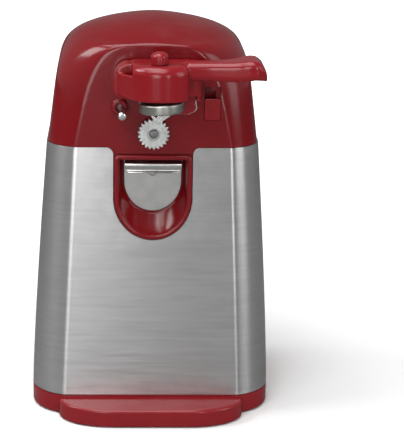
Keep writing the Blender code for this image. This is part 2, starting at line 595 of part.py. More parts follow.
def build_motor():
    x, z = MOTOR_AXIS
    stator = add("motor_stator", prism_y(rounded_box_outline(-27.0, 27.0, z - 46.0, z + 19.0, 3.0), *STATOR_Y),
                 LAMINATION)
    bore = cutter("stator_bore", turned_y(MOTOR_AXIS, [(-60.0, 13.0), (60.0, 13.0)], 24))
    window = cutter("stator_window", box((-15.0, -60.0, z - 36.0), (15.0, 60.0, z - 18.0)))
    combine(stator, "DIFFERENCE", bore, window)
    coil = add("motor_coil", prism_x(
        rounded_box_outline(STATOR_Y[0] - 6.0, STATOR_Y[1] + 6.0, z - 52.0, z - 20.0, 5.0), -14.6, 14.6), COPPER)
    limb = cutter("coil_hole", box((-40.0, STATOR_Y[0] - GAP, z - 46.0 - GAP), (40.0, STATOR_Y[1] + GAP, z - 36.0 + GAP)))
    combine(coil, "DIFFERENCE", limb)
    add("motor_rotor", tube_y(MOTOR_AXIS, 2.0 + RUNNING, 12.5, STATOR_Y[0] + 0.5, STATOR_Y[1] - 0.5, 24), LAMINATION)
    add("motor_shaft", turned_y(MOTOR_AXIS, [(STAGE_1[0] - 1.0, 1.5), (STAGE_1[1] + 0.9, 1.5), (STAGE_1[1] + 0.91, 2.0),
                                             (53.0, 2.0)], 16), STEEL_BRIGHT)
    bracket = add("motor_bracket", prism_y(rounded_box_outline(-25.0, 25.0, z - 8.0, z + 8.0, 5.0),
                                           STATOR_Y[1] + 8.0, STATOR_Y[1] + 9.5), STEEL_BRIGHT)
    hole = cutter("bracket_hole", turned_y(MOTOR_AXIS, [(-60.0, 4.3), (60.0, 4.3)], 16))
    legs = [cutter(f"bracket_leg_{side}", box((min(side * 25.0, side * 22.5), STATOR_Y[1] + GAP, z - 6.0),
                                              (max(side * 25.0, side * 22.5), STATOR_Y[1] + 9.0, z + 6.0)))
            for side in (-1, 1)]
    combine(bracket, "UNION", *legs)
    combine(bracket, "DIFFERENCE", hole)
    add("motor_rear_bush", tube_y(MOTOR_AXIS, 2.0 + RUNNING, 4.0, STATOR_Y[1] + 6.5, STATOR_Y[1] + 11.0, 16), BRONZE)
    build_fan()
    add("sharpening_stone", tube_y(MOTOR_AXIS, 2.0 + RUNNING, 15.0, 46.0, 53.0, 28), STONE)


def build_fan():
    y_low, y_high = STATOR_Y[1] + 12.0, STATOR_Y[1] + 19.0
    fan = add("cooling_fan", turned_y(MOTOR_AXIS, [(y_low, 5.0), (y_high, 5.0)], 16), BLACK)
    for i in range(6):
        angle = math.tau * i / 6
        blade = box((3.0, y_low + 0.5, -0.7), (19.0, y_high - 0.5, 0.7))
        turn = Matrix.Rotation(math.radians(28.0), 4, "X")
        middle = Matrix.Translation((0.0, (y_low + y_high) / 2, 0.0))
        place = Matrix.Translation((MOTOR_AXIS[0], 0.0, MOTOR_AXIS[1])) @ Matrix.Rotation(angle, 4, "Y")
        bmesh.ops.transform(blade, matrix=place @ middle @ turn @ middle.inverted(), verts=blade.verts)
        combine(fan, "UNION", cutter(f"fan_blade_{i}", blade))
    combine(fan, "DIFFERENCE", cutter("fan_bore", turned_y(MOTOR_AXIS, [(-60.0, 2.0 + RUNNING), (90.0, 2.0 + RUNNING)], 16)))


# ---------------------------------------------------------------- drive wheel and lever

def build_drive_wheel():
    outline = []
    step = math.tau / WHEEL_TEETH
    for i in range(WHEEL_TEETH):
        for radius, share in ((WHEEL_RADIUS - 1.3, 0.0), (WHEEL_RADIUS, 0.55), (WHEEL_RADIUS, 0.72)):
            angle = (i + share) * step
            outline.append((DRIVE_AXIS[0] + radius * math.cos(angle), DRIVE_AXIS[1] + radius * math.sin(angle)))
    wheel = add("drive_wheel", prism_y(outline, *WHEEL_Y), STEEL_BRIGHT)
    combine(wheel, "DIFFERENCE", cutter("wheel_bore", turned_y(DRIVE_AXIS, [(-80.0, 2.4 + RUNNING), (0.0, 2.4 + RUNNING)], 16)))
    add("drive_shaft", turned_y(DRIVE_AXIS, [(WHEEL_Y[0] - 1.2, 1.9), (WHEEL_Y[0] - 0.8, 2.4), (WHEEL_Y[1] + GAP, 2.4),
                                             (WHEEL_Y[1] + GAP + 0.01, 3.0), (REAR_PLATE_Y[1] + 1.5, 3.0)], 16),
        STEEL_BRIGHT)


def hub_outline(inset=0.0):
    """Plan of the lever's hub: a straight left facet, a broad round front, and a wing set back on the right."""
    back = LEVER_BACK_Y - inset
    points = [(-19.6 + inset, back), (-19.6 + inset, -44.4), (-18.6 + inset, -46.8),
              (-12.0 + inset * 0.6, -57.0 + inset)]
    centre, radius = (3.2, -39.6), 23.3 - inset
    start = math.atan2(points[-1][1] - centre[1], points[-1][0] - centre[0]) % math.tau
    end = math.radians(312.0)
    for i in range(1, 11):
        angle = start + (end - start) * i / 10
        points.append((centre[0] + radius * math.cos(angle), centre[1] + radius * math.sin(angle)))
    points += [(19.4 - inset, -47.2 + inset * 0.6), (22.6 - inset, -46.2 + inset), (23.8 - inset, -44.6 + inset * 0.5),
               (23.8 - inset, back)]
    return points


ARM_SECTIONS = [  # x, y front, y back, z bottom, z top
    (16.0, -52.5, -41.0, 189.2, 194.0), (27.0, -53.0, -41.0, 189.2, 194.4), (34.0, -54.2, -40.6, 188.8, 195.6),
    (41.0, -55.6, -38.6, 189.0, 196.8), (46.0, -56.8, -36.2, 189.8, 198.0), (50.5, -57.0, -35.4, 190.2, 198.2),
    (53.6, -56.2, -35.8, 189.8, 196.6), (55.4, -54.6, -37.0, 189.2, 193.8), (56.2, -53.0, -39.0, 188.8, 191.4)]


def arm_ring(x, front, back, low, high, radius=3.0):
    radius = min(radius, (high - low) * 0.42)
    return [(x, y, z) for y, z in rounded_box_outline(front, back, low, high, radius, 2)]


def build_lever():
    low, high = HUB_Z
    lever = add("lever_body", loft([[(x, y, low) for x, y in hub_outline()],
                                    [(x, y, high - 4.4) for x, y in hub_outline()],
                                    [(x, y, high - 2.0) for x, y in hub_outline(0.8)],
                                    [(x, y, high - 0.6) for x, y in hub_outline(2.4)],
                                    [(x, y, high) for x, y in hub_outline(4.4)]]), RED)
    arm = cutter("lever_arm", loft([arm_ring(*section) for section in ARM_SECTIONS]))
    wing = cutter("right_wing", box((17.0, LEVER_BACK_Y - 7.5, 175.6), (23.6, LEVER_BACK_Y, low + 3.0)))
    hub_hollow = cutter("hub_hollow", prism_z(hub_outline(2.2), low - 9.0, high - 4.6))
    arm_hollow = cutter("arm_hollow", loft([arm_ring(x, front + 2.2, back - 2.2, low_z - 6.0, high_z - 2.4, 0.6)
                                            for x, front, back, low_z, high_z in ARM_SECTIONS[1:6]]))
    pin_hole = cutter("knob_hole", tilted(turned_z(HUB_AXIS, [(low - 5.0, 1.6 + RUNNING), (high + 9.0, 1.6 + RUNNING)], 16)))
    pivot = cutter("lever_pivot_hole", turned_y(PIVOT, [(LEVER_BACK_Y - 7.0, 2.0 + RUNNING), (-20.0, 2.0 + RUNNING)], 16))
    boss = cutter("pivot_boss", turned_y(PIVOT, [(LEVER_BACK_Y, 5.0), (LEVER_BACK_Y - 8.5, 5.0)], 16))
    combine(lever, "UNION", arm, wing)
    combine(lever, "DIFFERENCE", hub_hollow, arm_hollow)
    combine(lever, "UNION", boss)
    combine(lever, "DIFFERENCE", pin_hole, pivot)
    inner = front_y(PIVOT[1]) + HEAD_INSET + WALL + 2.0
    add("lever_pivot_pin", turned_y(PIVOT, [(LEVER_BACK_Y - 6.6, 2.0), (inner + 7.5, 2.0)], 16), STEEL_BRIGHT)
    cam = add("lever_cam", prism_y(rounded_box_outline(PIVOT[0] - 11.0, PIVOT[0] + 4.0, PIVOT[1] - 4.0, PIVOT[1] + 1.2,
                                                       1.0), inner + 1.0, inner + 5.0), STEEL_BRIGHT)
    combine(cam, "UNION", cutter("cam_hub", turned_y(PIVOT, [(inner + 1.0, 4.4), (inner + 5.5, 4.4)], 16)))
    combine(cam, "DIFFERENCE", cutter("cam_bore", turned_y(PIVOT, [(-80.0, 2.0 + RUNNING), (20.0, 2.0 + RUNNING)], 16)))
    build_cutter()
    build_magnet()


def tilted(bm):
    """Leans what hangs on the hub's axis, about the middle of the hub's underside."""
    bmesh.ops.rotate(bm, verts=bm.verts, cent=(HUB_AXIS[0], HUB_AXIS[1], HUB_Z[0]),
                     matrix=Matrix.Rotation(-HUB_TILT, 3, "Y"))
    return bm


def build_cutter():
    y_low = LEVER_BACK_Y + GAP
    plate_outline = [(-4.6, 167.4), (18.2, 167.4), (22.5, 170.2), (21.9, 173.6), (21.9, 184.0), (-17.0, 184.0),
                     (-17.0, 180.4), (-12.6, 176.6), (-4.6, 176.0)]
    plate = add("cutter_plate", prism_y(plate_outline, y_low, y_low + 1.2), STEEL_BRIGHT)
    combine(plate, "DIFFERENCE", cutter("plate_pivot_hole", turned_y(PIVOT, [(-80.0, 5.3), (0.0, 5.3)], 16)))
    front, back = WHEEL_Y[0] - 2.2, WHEEL_Y[0] - 0.5
    blade = add("cutting_blade", prism_y([(1.7, 163.0), (9.6, 168.8), (10.6, 170.6), (10.6, 177.6), (-3.0, 177.6),
                                          (-3.0, 169.6)], front, back), STEEL_BRIGHT)
    notch = cutter("blade_notch", prism_y([(1.0, 166.4), (4.6, 169.3), (4.6, 171.4), (-1.0, 171.4), (-1.0, 169.1)],
                                          -80.0, 0.0))
    tab = cutter("blade_tab", box((-1.0, back - 0.6, 173.0), (9.4, y_low - GAP, 177.5)))
    combine(blade, "UNION", tab)
    combine(blade, "DIFFERENCE", notch)
    add("blade_screw", turned_y((15.0, 173.0), [(y_low - GAP - 1.8, 1.9), (y_low - GAP, 2.6)], 12), STEEL_BRIGHT)


def build_magnet():
    z_low, z_high = MAGNET_Z
    cup = add("magnet_cup", tilted(turned_z(HUB_AXIS, [
        (z_low, MAGNET_RADIUS - 0.5), (z_low + 0.5, MAGNET_RADIUS), (z_high - 0.7, MAGNET_RADIUS),
        (z_high, MAGNET_RADIUS - 0.7)], 28)), STEEL_BRIGHT)
    combine(cup, "DIFFERENCE",
            cutter("magnet_seat", tilted(turned_z(HUB_AXIS, [(z_low - 4.0, 9.2), (z_high - 1.4, 9.2)], 24))),
            cutter("cup_bore", tilted(turned_z(HUB_AXIS, [(z_low - 4.0, 1.6 + RUNNING), (z_high + 4.0, 1.6 + RUNNING)], 16))))
    magnet = add("magnet_disc", tilted(turned_z(HUB_AXIS, [(z_low + 0.2, 8.9), (z_high - 1.4 - GAP, 8.9)], 24)), FERRITE)
    combine(magnet, "DIFFERENCE",
            cutter("magnet_bore", tilted(turned_z(HUB_AXIS, [(z_low - 4.0, 3.0), (z_high, 3.0)], 16))))
    knob_low = HUB_Z[1] + 0.35
    add("magnet_knob", tilted(turned_z(HUB_AXIS, [
        (z_low + 1.0, 2.7), (z_low + 1.9, 2.7), (z_low + 1.91, 1.6), (knob_low, 1.6), (knob_low + 0.01, 4.3),
        (KNOB_TOP_Z - 2.2, 4.3), (KNOB_TOP_Z - 0.9, 3.6), (KNOB_TOP_Z - 0.2, 2.2), (KNOB_TOP_Z, 0.8)], 20)), RED)


# ---------------------------------------------------------------- switch, sharpener and inlet

def build_switch():
    inner = front_y(PIVOT[1]) + HEAD_INSET + WALL + 2.0
    x, z = PIVOT[0] - 9.0, PIVOT[1] + 1.2 + GAP
    add("switch_plunger", box((x - 1.5, inner + 1.4, z), (x + 1.5, inner + 4.6, z + 5.4)), BLACK)
    switch = add("switch_body", box((x - 5.0, inner + 0.2, z + 1.6), (x + 5.0, inner + 5.8, z + 7.6)), BLACK)
    well = cutter("plunger_well", box((x - 1.5 - GAP, inner + 1.1, z - 3.0), (x + 1.5 + GAP, inner + 4.9, z + 6.4)))
    combine(switch, "DIFFERENCE", well)


def build_rear_details():
    back = 55.4
    guide = add("sharpener_guide", prism_y(rounded_box_outline(-16.6, 16.6, 90.4, 127.6, 2.8), back, 62.0), BLACK)
    for side in (-1, 1):
        lean = side * 3.0
        slot = [(side * 8.0 - 1.2 - lean, 98.0), (side * 8.0 + 1.2 - lean, 98.0),
                (side * 8.0 + 1.2 + lean, 132.0), (side * 8.0 - 1.2 + lean, 132.0)]
        combine(guide, "DIFFERENCE", cutter(f"knife_slot_{side + 2}", prism_y(slot, 40.0, 80.0)))
    wall = 62.3
    add("cord_grommet", turned_ring_y(CORD_AXIS, [(57.0, 3.4), (57.0, 6.0), (58.6, 6.0), (58.61, 4.2), (wall, 4.2),
                                                  (wall + 0.8, 4.2), (wall + 0.8, 3.4)], 16), BLACK)


def build_can_opener():
    clear_scene()
    build_base()
    build_housings()
    build_steel_wrap()
    build_bottle_opener()
    build_front_details()
    build_gears()
    build_gearbox()
    build_motor()
    build_drive_wheel()
    build_lever()
    build_switch()
    build_rear_details()


build_can_opener()
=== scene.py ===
"""Looks of an upright electric can opener: fine meshes, finishes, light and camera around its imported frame.

Sizes are in millimetres inside the classes and become metres when a mesh is made. X runs to the right,
Y to the back and Z up, and the origin lies under the opener, on the surface that it stands on.
"""

from __future__ import annotations

import logging
import math
from dataclasses import dataclass, field
from enum import Enum
from typing import Callable, Sequence

import bmesh
import bpy
from mathutils import Matrix, Vector


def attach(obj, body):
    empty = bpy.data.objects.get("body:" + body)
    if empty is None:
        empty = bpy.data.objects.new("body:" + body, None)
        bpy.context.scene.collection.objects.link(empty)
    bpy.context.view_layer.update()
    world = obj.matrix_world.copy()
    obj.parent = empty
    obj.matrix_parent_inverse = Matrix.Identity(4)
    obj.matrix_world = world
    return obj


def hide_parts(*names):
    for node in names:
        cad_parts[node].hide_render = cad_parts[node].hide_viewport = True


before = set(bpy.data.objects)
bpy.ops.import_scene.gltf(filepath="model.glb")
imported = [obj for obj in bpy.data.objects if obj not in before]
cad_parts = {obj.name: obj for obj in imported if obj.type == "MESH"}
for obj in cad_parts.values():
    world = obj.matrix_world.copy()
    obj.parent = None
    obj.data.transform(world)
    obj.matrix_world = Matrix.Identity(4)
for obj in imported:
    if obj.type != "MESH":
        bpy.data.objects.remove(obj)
log = logging.getLogger("can_opener")

MM = 0.001
GAP = 0.3            # clearance between two pieces that touch on the real opener

Point = tuple[float, float, float]
Flat = tuple[float, float]
Outline = list[Flat]
Piece = bpy.types.Object
Solid = bmesh.types.BMesh
Socket = bpy.types.NodeSocket
Tree = bpy.types.NodeTree
Node = bpy.types.Node
Material = bpy.types.Material


class Solve(Enum):
    """What a Boolean step does with its tools."""

    ADD = "UNION"
    CUT = "DIFFERENCE"


class Turn(Enum):
    """The axis that a turned piece runs along."""

    Y = "Y"
    Z = "Z"


# ------------------------------------------------------------------ mesh helpers

def circle(centre: Flat, radius: float, count: int = 64, start: float = 0.0) -> Outline:
    """Points evenly round a circle."""
    return [(centre[0] + radius * math.cos(start + math.tau * i / count),
             centre[1] + radius * math.sin(start + math.tau * i / count)) for i in range(count)]


def rounded_box(x0: float, x1: float, z0: float, z1: float, radius: float, steps: int = 8) -> Outline:
    """A rectangle with round corners.

    Args:
        x0, x1, z0, z1: the sides.
        radius: of each corner.
        steps: points along each corner, less one.

    Returns:
        One closed loop of points, anticlockwise.
    """
    loop: Outline = []
    for cx, cz, turn in ((x1 - radius, z1 - radius, 0), (x0 + radius, z1 - radius, 90),
                         (x0 + radius, z0 + radius, 180), (x1 - radius, z0 + radius, 270)):
        for i in range(steps + 1):
            angle = math.radians(turn + 90 * i / steps)
            loop.append((cx + radius * math.cos(angle), cz + radius * math.sin(angle)))
    return loop


def loft(rings: Sequence[Sequence[Point]], cap: bool = True) -> Solid:
    """Skins closed rings of equally many points.

    Args:
        rings: the rings, in order.
        cap: whether the two ends are closed.

    Returns:
        A bmesh in millimetres.
    """
    bm = bmesh.new()
    rows = [[bm.verts.new(point) for point in ring] for ring in rings]
    count = len(rows[0])
    for low, high in zip(rows, rows[1:]):
        for i in range(count):
            j = (i + 1) % count
            bm.faces.new((low[i], low[j], high[j], high[i]))
    if cap:
        bm.faces.new(list(reversed(rows[0])))
        bm.faces.new(rows[-1])
    return bm


def ribbon(rows: Sequence[Sequence[Point]]) -> Solid:
    """Skins open rows of equally many points into one sheet.

    Args:
        rows: the rows, in order.

    Returns:
        An open bmesh in millimetres.
    """
    bm = bmesh.new()
    made = [[bm.verts.new(point) for point in row] for row in rows]
    for low, high in zip(made, made[1:]):
        for i in range(len(low) - 1):
            bm.faces.new((low[i], low[i + 1], high[i + 1], high[i]))
    return bm


def prism_x(outline: Outline, low: float, high: float) -> Solid:
    """A (y, z) outline stretched along X."""
    return loft([[(x, y, z) for y, z in outline] for x in (low, high)])


def prism_y(outline: Outline, low: float, high: float) -> Solid:
    """An (x, z) outline stretched along Y."""
    return loft([[(x, y, z) for x, z in outline] for y in (low, high)])


def prism_z(outline: Outline, low: float, high: float) -> Solid:
    """An (x, y) outline stretched along Z."""
    return loft([[(x, y, z) for x, y in outline] for z in (low, high)])


def block(low: Point, high: Point) -> Solid:
    """A square block between two corners."""
    return prism_z([(low[0], low[1]), (high[0], low[1]), (high[0], high[1]), (low[0], high[1])], low[2], high[2])


def turned(axis: Flat, profile: Sequence[Flat], along: Turn = Turn.Y, count: int = 64) -> Solid:
    """A solid of revolution.

    Args:
        axis: where the axis passes, as (x, z) along Y or (x, y) along Z.
        profile: (place along the axis, radius) from end to end.
        along: the direction of the axis.
        count: points round it.

    Returns:
        A closed bmesh in millimetres.
    """
    if along is Turn.Y:
        return loft([[(x, y, z) for x, z in circle(axis, radius, count)] for y, radius in profile])
    return loft([[(x, y, z) for x, y in circle(axis, radius, count)] for z, radius in profile])


def turned_ring(axis: Flat, section: Sequence[Flat], count: int = 64) -> Solid:
    """A ring about an axis along Y, whose section is a closed loop of (y, radius).

    Args:
        axis: where the axis passes, as (x, z).
        section: the loop.
        count: points round the axis.

    Returns:
        A closed bmesh in millimetres.
    """
    bm = bmesh.new()
    loops = [[bm.verts.new((x, y, z)) for x, z in circle(axis, radius, count)] for y, radius in section]
    for a, b in zip(loops, loops[1:] + loops[:1]):
        for i in range(count):
            j = (i + 1) % count
            bm.faces.new((a[i], a[j], b[j], b[i]))
    return bm


def quarter(start: Flat, end: Flat, corner: Flat, steps: int = 6) -> list[Flat]:
    """A soft corner from start to end, pulled towards corner.

    Args:
        start, end, corner: the points.
        steps: points along it, less one.

    Returns:
        The points, both ends included.
    """
    points = []
    for i in range(steps + 1):
        t = i / steps
        a, b, c = (1 - t) ** 2, 2 * t * (1 - t), t * t
        points.append((a * start[0] + b * corner[0] + c * end[0], a * start[1] + b * corner[1] + c * end[1]))
    return points


def put_in_scene(name: str, data: bpy.types.ID) -> Piece:
    """Makes an object of a mesh, light or camera and links it.

    Args:
        name: of the object.
        data: what it holds.

    Returns:
        The object.
    """
    placed = bpy.data.objects.new(name, data)
    bpy.context.scene.collection.objects.link(placed)
    return placed


def make(name: str, bm: Solid) -> Piece:
    """Turns a bmesh in millimetres into a linked object in metres, merged and facing outwards.

    Args:
        name: of the object.
        bm: the bmesh, which is freed.

    Returns:
        The new object.
    """
    bmesh.ops.remove_doubles(bm, verts=bm.verts, dist=1e-4)
    bmesh.ops.recalc_face_normals(bm, faces=bm.faces)
    bmesh.ops.scale(bm, vec=(MM, MM, MM), verts=bm.verts)
    mesh = bpy.data.meshes.new(name)
    bm.to_mesh(mesh)
    bm.free()
    return put_in_scene(name, mesh)


def settle(piece: Piece) -> Piece:
    """Applies every modifier on a piece to a plain mesh.

    Args:
        piece: what carries the modifiers.

    Returns:
        The same piece.
    """
    bpy.context.view_layer.update()
    graph = bpy.context.evaluated_depsgraph_get()
    baked = bpy.data.meshes.new_from_object(piece.evaluated_get(graph), depsgraph=graph)
    piece.modifiers.clear()
    old, piece.data = piece.data, baked
    bpy.data.meshes.remove(old)
    piece.data.name = piece.name
    return piece


def discard(*pieces: Piece) -> None:
    """Removes tools that have done their work."""
    for piece in pieces:
        bpy.data.objects.remove(piece, do_unlink=True)


def carve(piece: Piece, how: Solve, *tools: Solid | Piece) -> Piece:
    """Adds or cuts tools, one after the other.

    Args:
        piece: what is worked on.
        how: add or cut.
        tools: bmeshes in millimetres, or objects.

    Returns:
        The same piece, with a plain mesh.
    """
    made = [tool if isinstance(tool, Piece) else make("tool", tool) for tool in tools]
    for tool in made:
        step = piece.modifiers.new("step", "BOOLEAN")
        step.operation = how.value
        step.solver = "EXACT"
        step.object = tool
    settle(piece)
    discard(*made)
    return piece


def solidify(piece: Piece, thickness: float, offset: float = -1.0) -> Piece:
    """Gives a sheet a wall, in millimetres, inwards by default.

    Args:
        piece: the sheet.
        thickness: of the wall.
        offset: the side that it grows to.

    Returns:
        The same piece, closed.
    """
    step = piece.modifiers.new("wall", "SOLIDIFY")
    step.thickness = thickness * MM
    step.offset = offset
    return settle(piece)


def soften(piece: Piece, width: float, segments: int = 3, angle: float = 32.0) -> Piece:
    """Rounds the hard edges and evens out the shading.

    Args:
        piece: what is softened.
        width: of the round, in millimetres.
        segments: faces across the round.
        angle: edges sharper than this many degrees are rounded.

    Returns:
        The same piece.
    """
    round_off = piece.modifiers.new("round", "BEVEL")
    round_off.width = width * MM
    round_off.segments = segments
    round_off.limit_method = "ANGLE"
    round_off.angle_limit = math.radians(angle)
    round_off.use_clamp_overlap = True
    round_off.miter_outer = "MITER_ARC"
    settle(piece)
    return even_shading(piece)


def even_shading(piece: Piece, sharp: float = 40.0) -> Piece:
    """Shades a piece smooth, apart from edges over an angle, with normals weighted by face area.

    Args:
        piece: what is shaded.
        sharp: the angle, in degrees.

    Returns:
        The same piece.
    """
    piece.data.shade_smooth()
    piece.data.set_sharp_from_angle(angle=math.radians(sharp))
    weigh = piece.modifiers.new("shade", "WEIGHTED_NORMAL")
    weigh.keep_sharp = True
    weigh.weight = 80
    return settle(piece)


def melt(piece: Piece, voxel: float, passes: int) -> Piece:
    """Flows joined solids into one another, as in a moulding.

    Args:
        piece: a closed solid.
        voxel: size of the new faces, in millimetres.
        passes: how often the surface is smoothed.

    Returns:
        The same piece, with a fine even mesh.
    """
    grid = piece.modifiers.new("grid", "REMESH")
    grid.mode = "VOXEL"
    grid.voxel_size = voxel * MM
    flow = piece.modifiers.new("flow", "SMOOTH")
    flow.factor = 0.5
    flow.iterations = passes
    settle(piece)
    piece.data.shade_smooth()
    return piece


def tilted(bm: Solid, centre: Point, angle: float) -> Solid:
    """Leans a bmesh about a line along Y through centre."""
    bmesh.ops.rotate(bm, verts=bm.verts, cent=centre, matrix=Matrix.Rotation(-angle, 3, "Y"))
    return bm


def blend(low: float, high: float, share: float) -> float:
    """An eased step from low to high."""
    share = min(1.0, max(0.0, share))
    return low + (high - low) * share * share * (3.0 - 2.0 * share)


# ------------------------------------------------------------------ node wiring

class Wiring:
    """Adds nodes to a tree and links them in one call each."""

    def __init__(self, tree: Tree) -> None:
        """Takes the tree to wire."""
        self.tree = tree

    def add(self, kind: str, settings: dict[str, object] | None = None, **inputs: object) -> Node:
        """Adds one node.

        Args:
            kind: the node's type name.
            settings: its properties.
            inputs: values or sockets by input name, with underscores for spaces, or iN for the Nth input.

        Returns:
            The new node.
        """
        node = self.tree.nodes.new(kind)
        for name, value in (settings or {}).items():
            setattr(node, name, value)
        for name, value in inputs.items():
            if name[0] == "i" and name[1:].isdigit():
                socket = node.inputs[int(name[1:])]
            else:
                socket = node.inputs[name.replace("_", " ")]
            if isinstance(value, Socket):
                self.tree.links.new(value, socket)
            else:
                socket.default_value = value
        return node

    def math(self, operation: str, *values: object, clamp: bool = False) -> Socket:
        """A math node's result."""
        node = self.add("ShaderNodeMath", {"operation": operation, "use_clamp": clamp},
                        **{f"i{i}": value for i, value in enumerate(values)})
        return node.outputs[0]

    def remap(self, value: object, low: float, high: float, out_low: object, out_high: object) -> Socket:
        """Maps a value's range onto another, clamped."""
        node = self.add("ShaderNodeMapRange", {"clamp": True}, Value=value, From_Min=low, From_Max=high,
                        To_Min=out_low, To_Max=out_high)
        return node.outputs[0]

    def mix(self, factor: object, a: object, b: object) -> Socket:
        """Mixes two colours.

        Args:
            factor: the share of b.
            a, b: the colours.

        Returns:
            The mixed colour.
        """
        node = self.add("ShaderNodeMix", {"data_type": "RGBA"})
        for index, value in ((0, factor), (6, a), (7, b)):
            if isinstance(value, Socket):
                self.tree.links.new(value, node.inputs[index])
            else:
                node.inputs[index].default_value = value
        return node.outputs[2]


def group(name: str, kind: str, inputs: Sequence[tuple[str, str, object]],
          outputs: Sequence[tuple[str, str]]) -> tuple[Tree, Wiring, dict, dict]:
    """Starts a node group.

    Args:
        name: of the group.
        kind: the tree's type.
        inputs: (name, socket type, default) of each input.
        outputs: (name, socket type) of each output.

    Returns:
        The tree, its wiring, the input sockets by name and the output node's sockets by name.
    """
    tree = bpy.data.node_groups.new(name, kind)
    for label, socket_type, default in inputs:
        socket = tree.interface.new_socket(name=label, in_out="INPUT", socket_type=socket_type)
        if default is not None:
            socket.default_value = default
    for label, socket_type in outputs:
        tree.interface.new_socket(name=label, in_out="OUTPUT", socket_type=socket_type)
    into = tree.nodes.new("NodeGroupInput")
    out = tree.nodes.new("NodeGroupOutput")
    return tree, Wiring(tree), {s.name: s for s in into.outputs if s.name}, {s.name: s for s in out.inputs if s.name}


VALUE, VECTOR = "NodeSocketFloat", "NodeSocketVector"


def grain_group() -> Tree:
    """Fine mottling of a surface: a roughness that drifts, and a height for its bumps.

    Returns:
        The group.
    """
    tree, wire, into, out = group(
        "surface_grain", "ShaderNodeTree",
        [("Vector", VECTOR, None), ("Scale", VALUE, 900.0), ("Smoothest", VALUE, 0.2), ("Roughest", VALUE, 0.3),
         ("Drift scale", VALUE, 30.0)], [("Roughness", VALUE), ("Height", VALUE)])
    fine = wire.add("ShaderNodeTexNoise", Vector=into["Vector"], Scale=into["Scale"], Detail=4.0, Roughness=0.6)
    drift = wire.add("ShaderNodeTexNoise", Vector=into["Vector"], Scale=into["Drift scale"], Detail=3.0)
    both = wire.math("MULTIPLY_ADD", fine.outputs[0], 0.35, wire.math("MULTIPLY", drift.outputs[0], 0.65))
    tree.links.new(wire.remap(both, 0.32, 0.68, into["Smoothest"], into["Roughest"]), out["Roughness"])
    tree.links.new(fine.outputs[0], out["Height"])
    return tree


def wear_group() -> Tree:
    """Edges that handling has rubbed: a mask that is strong on convex edges and broken up by noise.

    Returns:
        The group.
    """
    tree, wire, into, out = group(
        "edge_wear", "ShaderNodeTree",
        [("Vector", VECTOR, None), ("Amount", VALUE, 0.5), ("Scale", VALUE, 140.0)], [("Mask", VALUE)])
    shape = wire.add("ShaderNodeNewGeometry")
    edge = wire.remap(shape.outputs["Pointiness"], 0.505, 0.56, 0.0, 1.0)
    patch = wire.add("ShaderNodeTexNoise", Vector=into["Vector"], Scale=into["Scale"], Detail=5.0)
    broken = wire.math("MULTIPLY", edge, wire.remap(patch.outputs[0], 0.4, 0.62, 0.2, 1.0))
    tree.links.new(wire.math("MULTIPLY", broken, into["Amount"], clamp=True), out["Mask"])
    return tree


def dust_group() -> Tree:
    """Fine dust that settles on what faces up, in soft patches and specks.

    Returns:
        The group.
    """
    tree, wire, into, out = group(
        "settled_dust", "ShaderNodeTree",
        [("Vector", VECTOR, None), ("Amount", VALUE, 0.3)], [("Mask", VALUE)])
    shape = wire.add("ShaderNodeNewGeometry")
    facing = wire.add("ShaderNodeSeparateXYZ", Vector=shape.outputs["Normal"])
    up = wire.remap(facing.outputs[2], 0.35, 0.95, 0.0, 1.0)
    patch = wire.add("ShaderNodeTexNoise", Vector=into["Vector"], Scale=60.0, Detail=6.0)
    speck = wire.add("ShaderNodeTexVoronoi", Vector=into["Vector"], Scale=700.0)
    dots = wire.remap(speck.outputs["Distance"], 0.02, 0.12, 1.0, 0.0)
    soft = wire.remap(patch.outputs[0], 0.45, 0.7, 0.0, 0.35)
    both = wire.math("MAXIMUM", soft, wire.math("MULTIPLY", dots, 0.5))
    tree.links.new(wire.math("MULTIPLY", wire.math("MULTIPLY", both, up), into["Amount"], clamp=True), out["Mask"])
    return tree


def brush_group() -> Tree:
    """Lines that a belt leaves on metal: a shade, a roughness and a height that run in streaks.

    Returns:
        The group.
    """
    tree, wire, into, out = group(
        "brushed_lines", "ShaderNodeTree",
        [("Vector", VECTOR, None), ("Stretch", VECTOR, (1.0, 1.0, 60.0)), ("Scale", VALUE, 30.0),
         ("Smoothest", VALUE, 0.25), ("Roughest", VALUE, 0.4)],
        [("Shade", VALUE), ("Roughness", VALUE), ("Height", VALUE)])
    lay = wire.add("ShaderNodeMapping", Vector=into["Vector"], Scale=into["Stretch"])
    coarse = wire.add("ShaderNodeTexNoise", Vector=lay.outputs[0], Scale=into["Scale"], Detail=8.0, Roughness=0.75)
    wide = wire.add("ShaderNodeMapping", Vector=lay.outputs[0], Scale=(1.0, 1.0, 0.13))
    bands = wire.add("ShaderNodeTexNoise", Vector=wide.outputs[0], Scale=into["Scale"], Detail=2.0)
    shade = wire.math("MULTIPLY_ADD", coarse.outputs[0], 0.7, wire.math("MULTIPLY", bands.outputs[0], 0.3))
    tree.links.new(wire.remap(shade, 0.3, 0.7, 0.0, 1.0), out["Shade"])
    tree.links.new(wire.remap(shade, 0.3, 0.7, into["Smoothest"], into["Roughest"]), out["Roughness"])
    tree.links.new(coarse.outputs[0], out["Height"])
    return tree


class Groups:
    """The node groups that the finishes share, built on first use."""

    makers: dict[str, Callable[[], Tree]] = {
        "surface_grain": grain_group, "edge_wear": wear_group, "settled_dust": dust_group,
        "brushed_lines": brush_group}

    @classmethod
    def place(cls, wire: Wiring, name: str, **inputs: object) -> Node:
        """Puts a group in a material.

        Args:
            wire: the material's wiring.
            name: of the group.
            inputs: its values or sockets.

        Returns:
            The group's node.
        """
        tree = bpy.data.node_groups.get(name) or cls.makers[name]()
        return wire.add("ShaderNodeGroup", {"node_tree": tree}, **inputs)


# ------------------------------------------------------------------ finishes

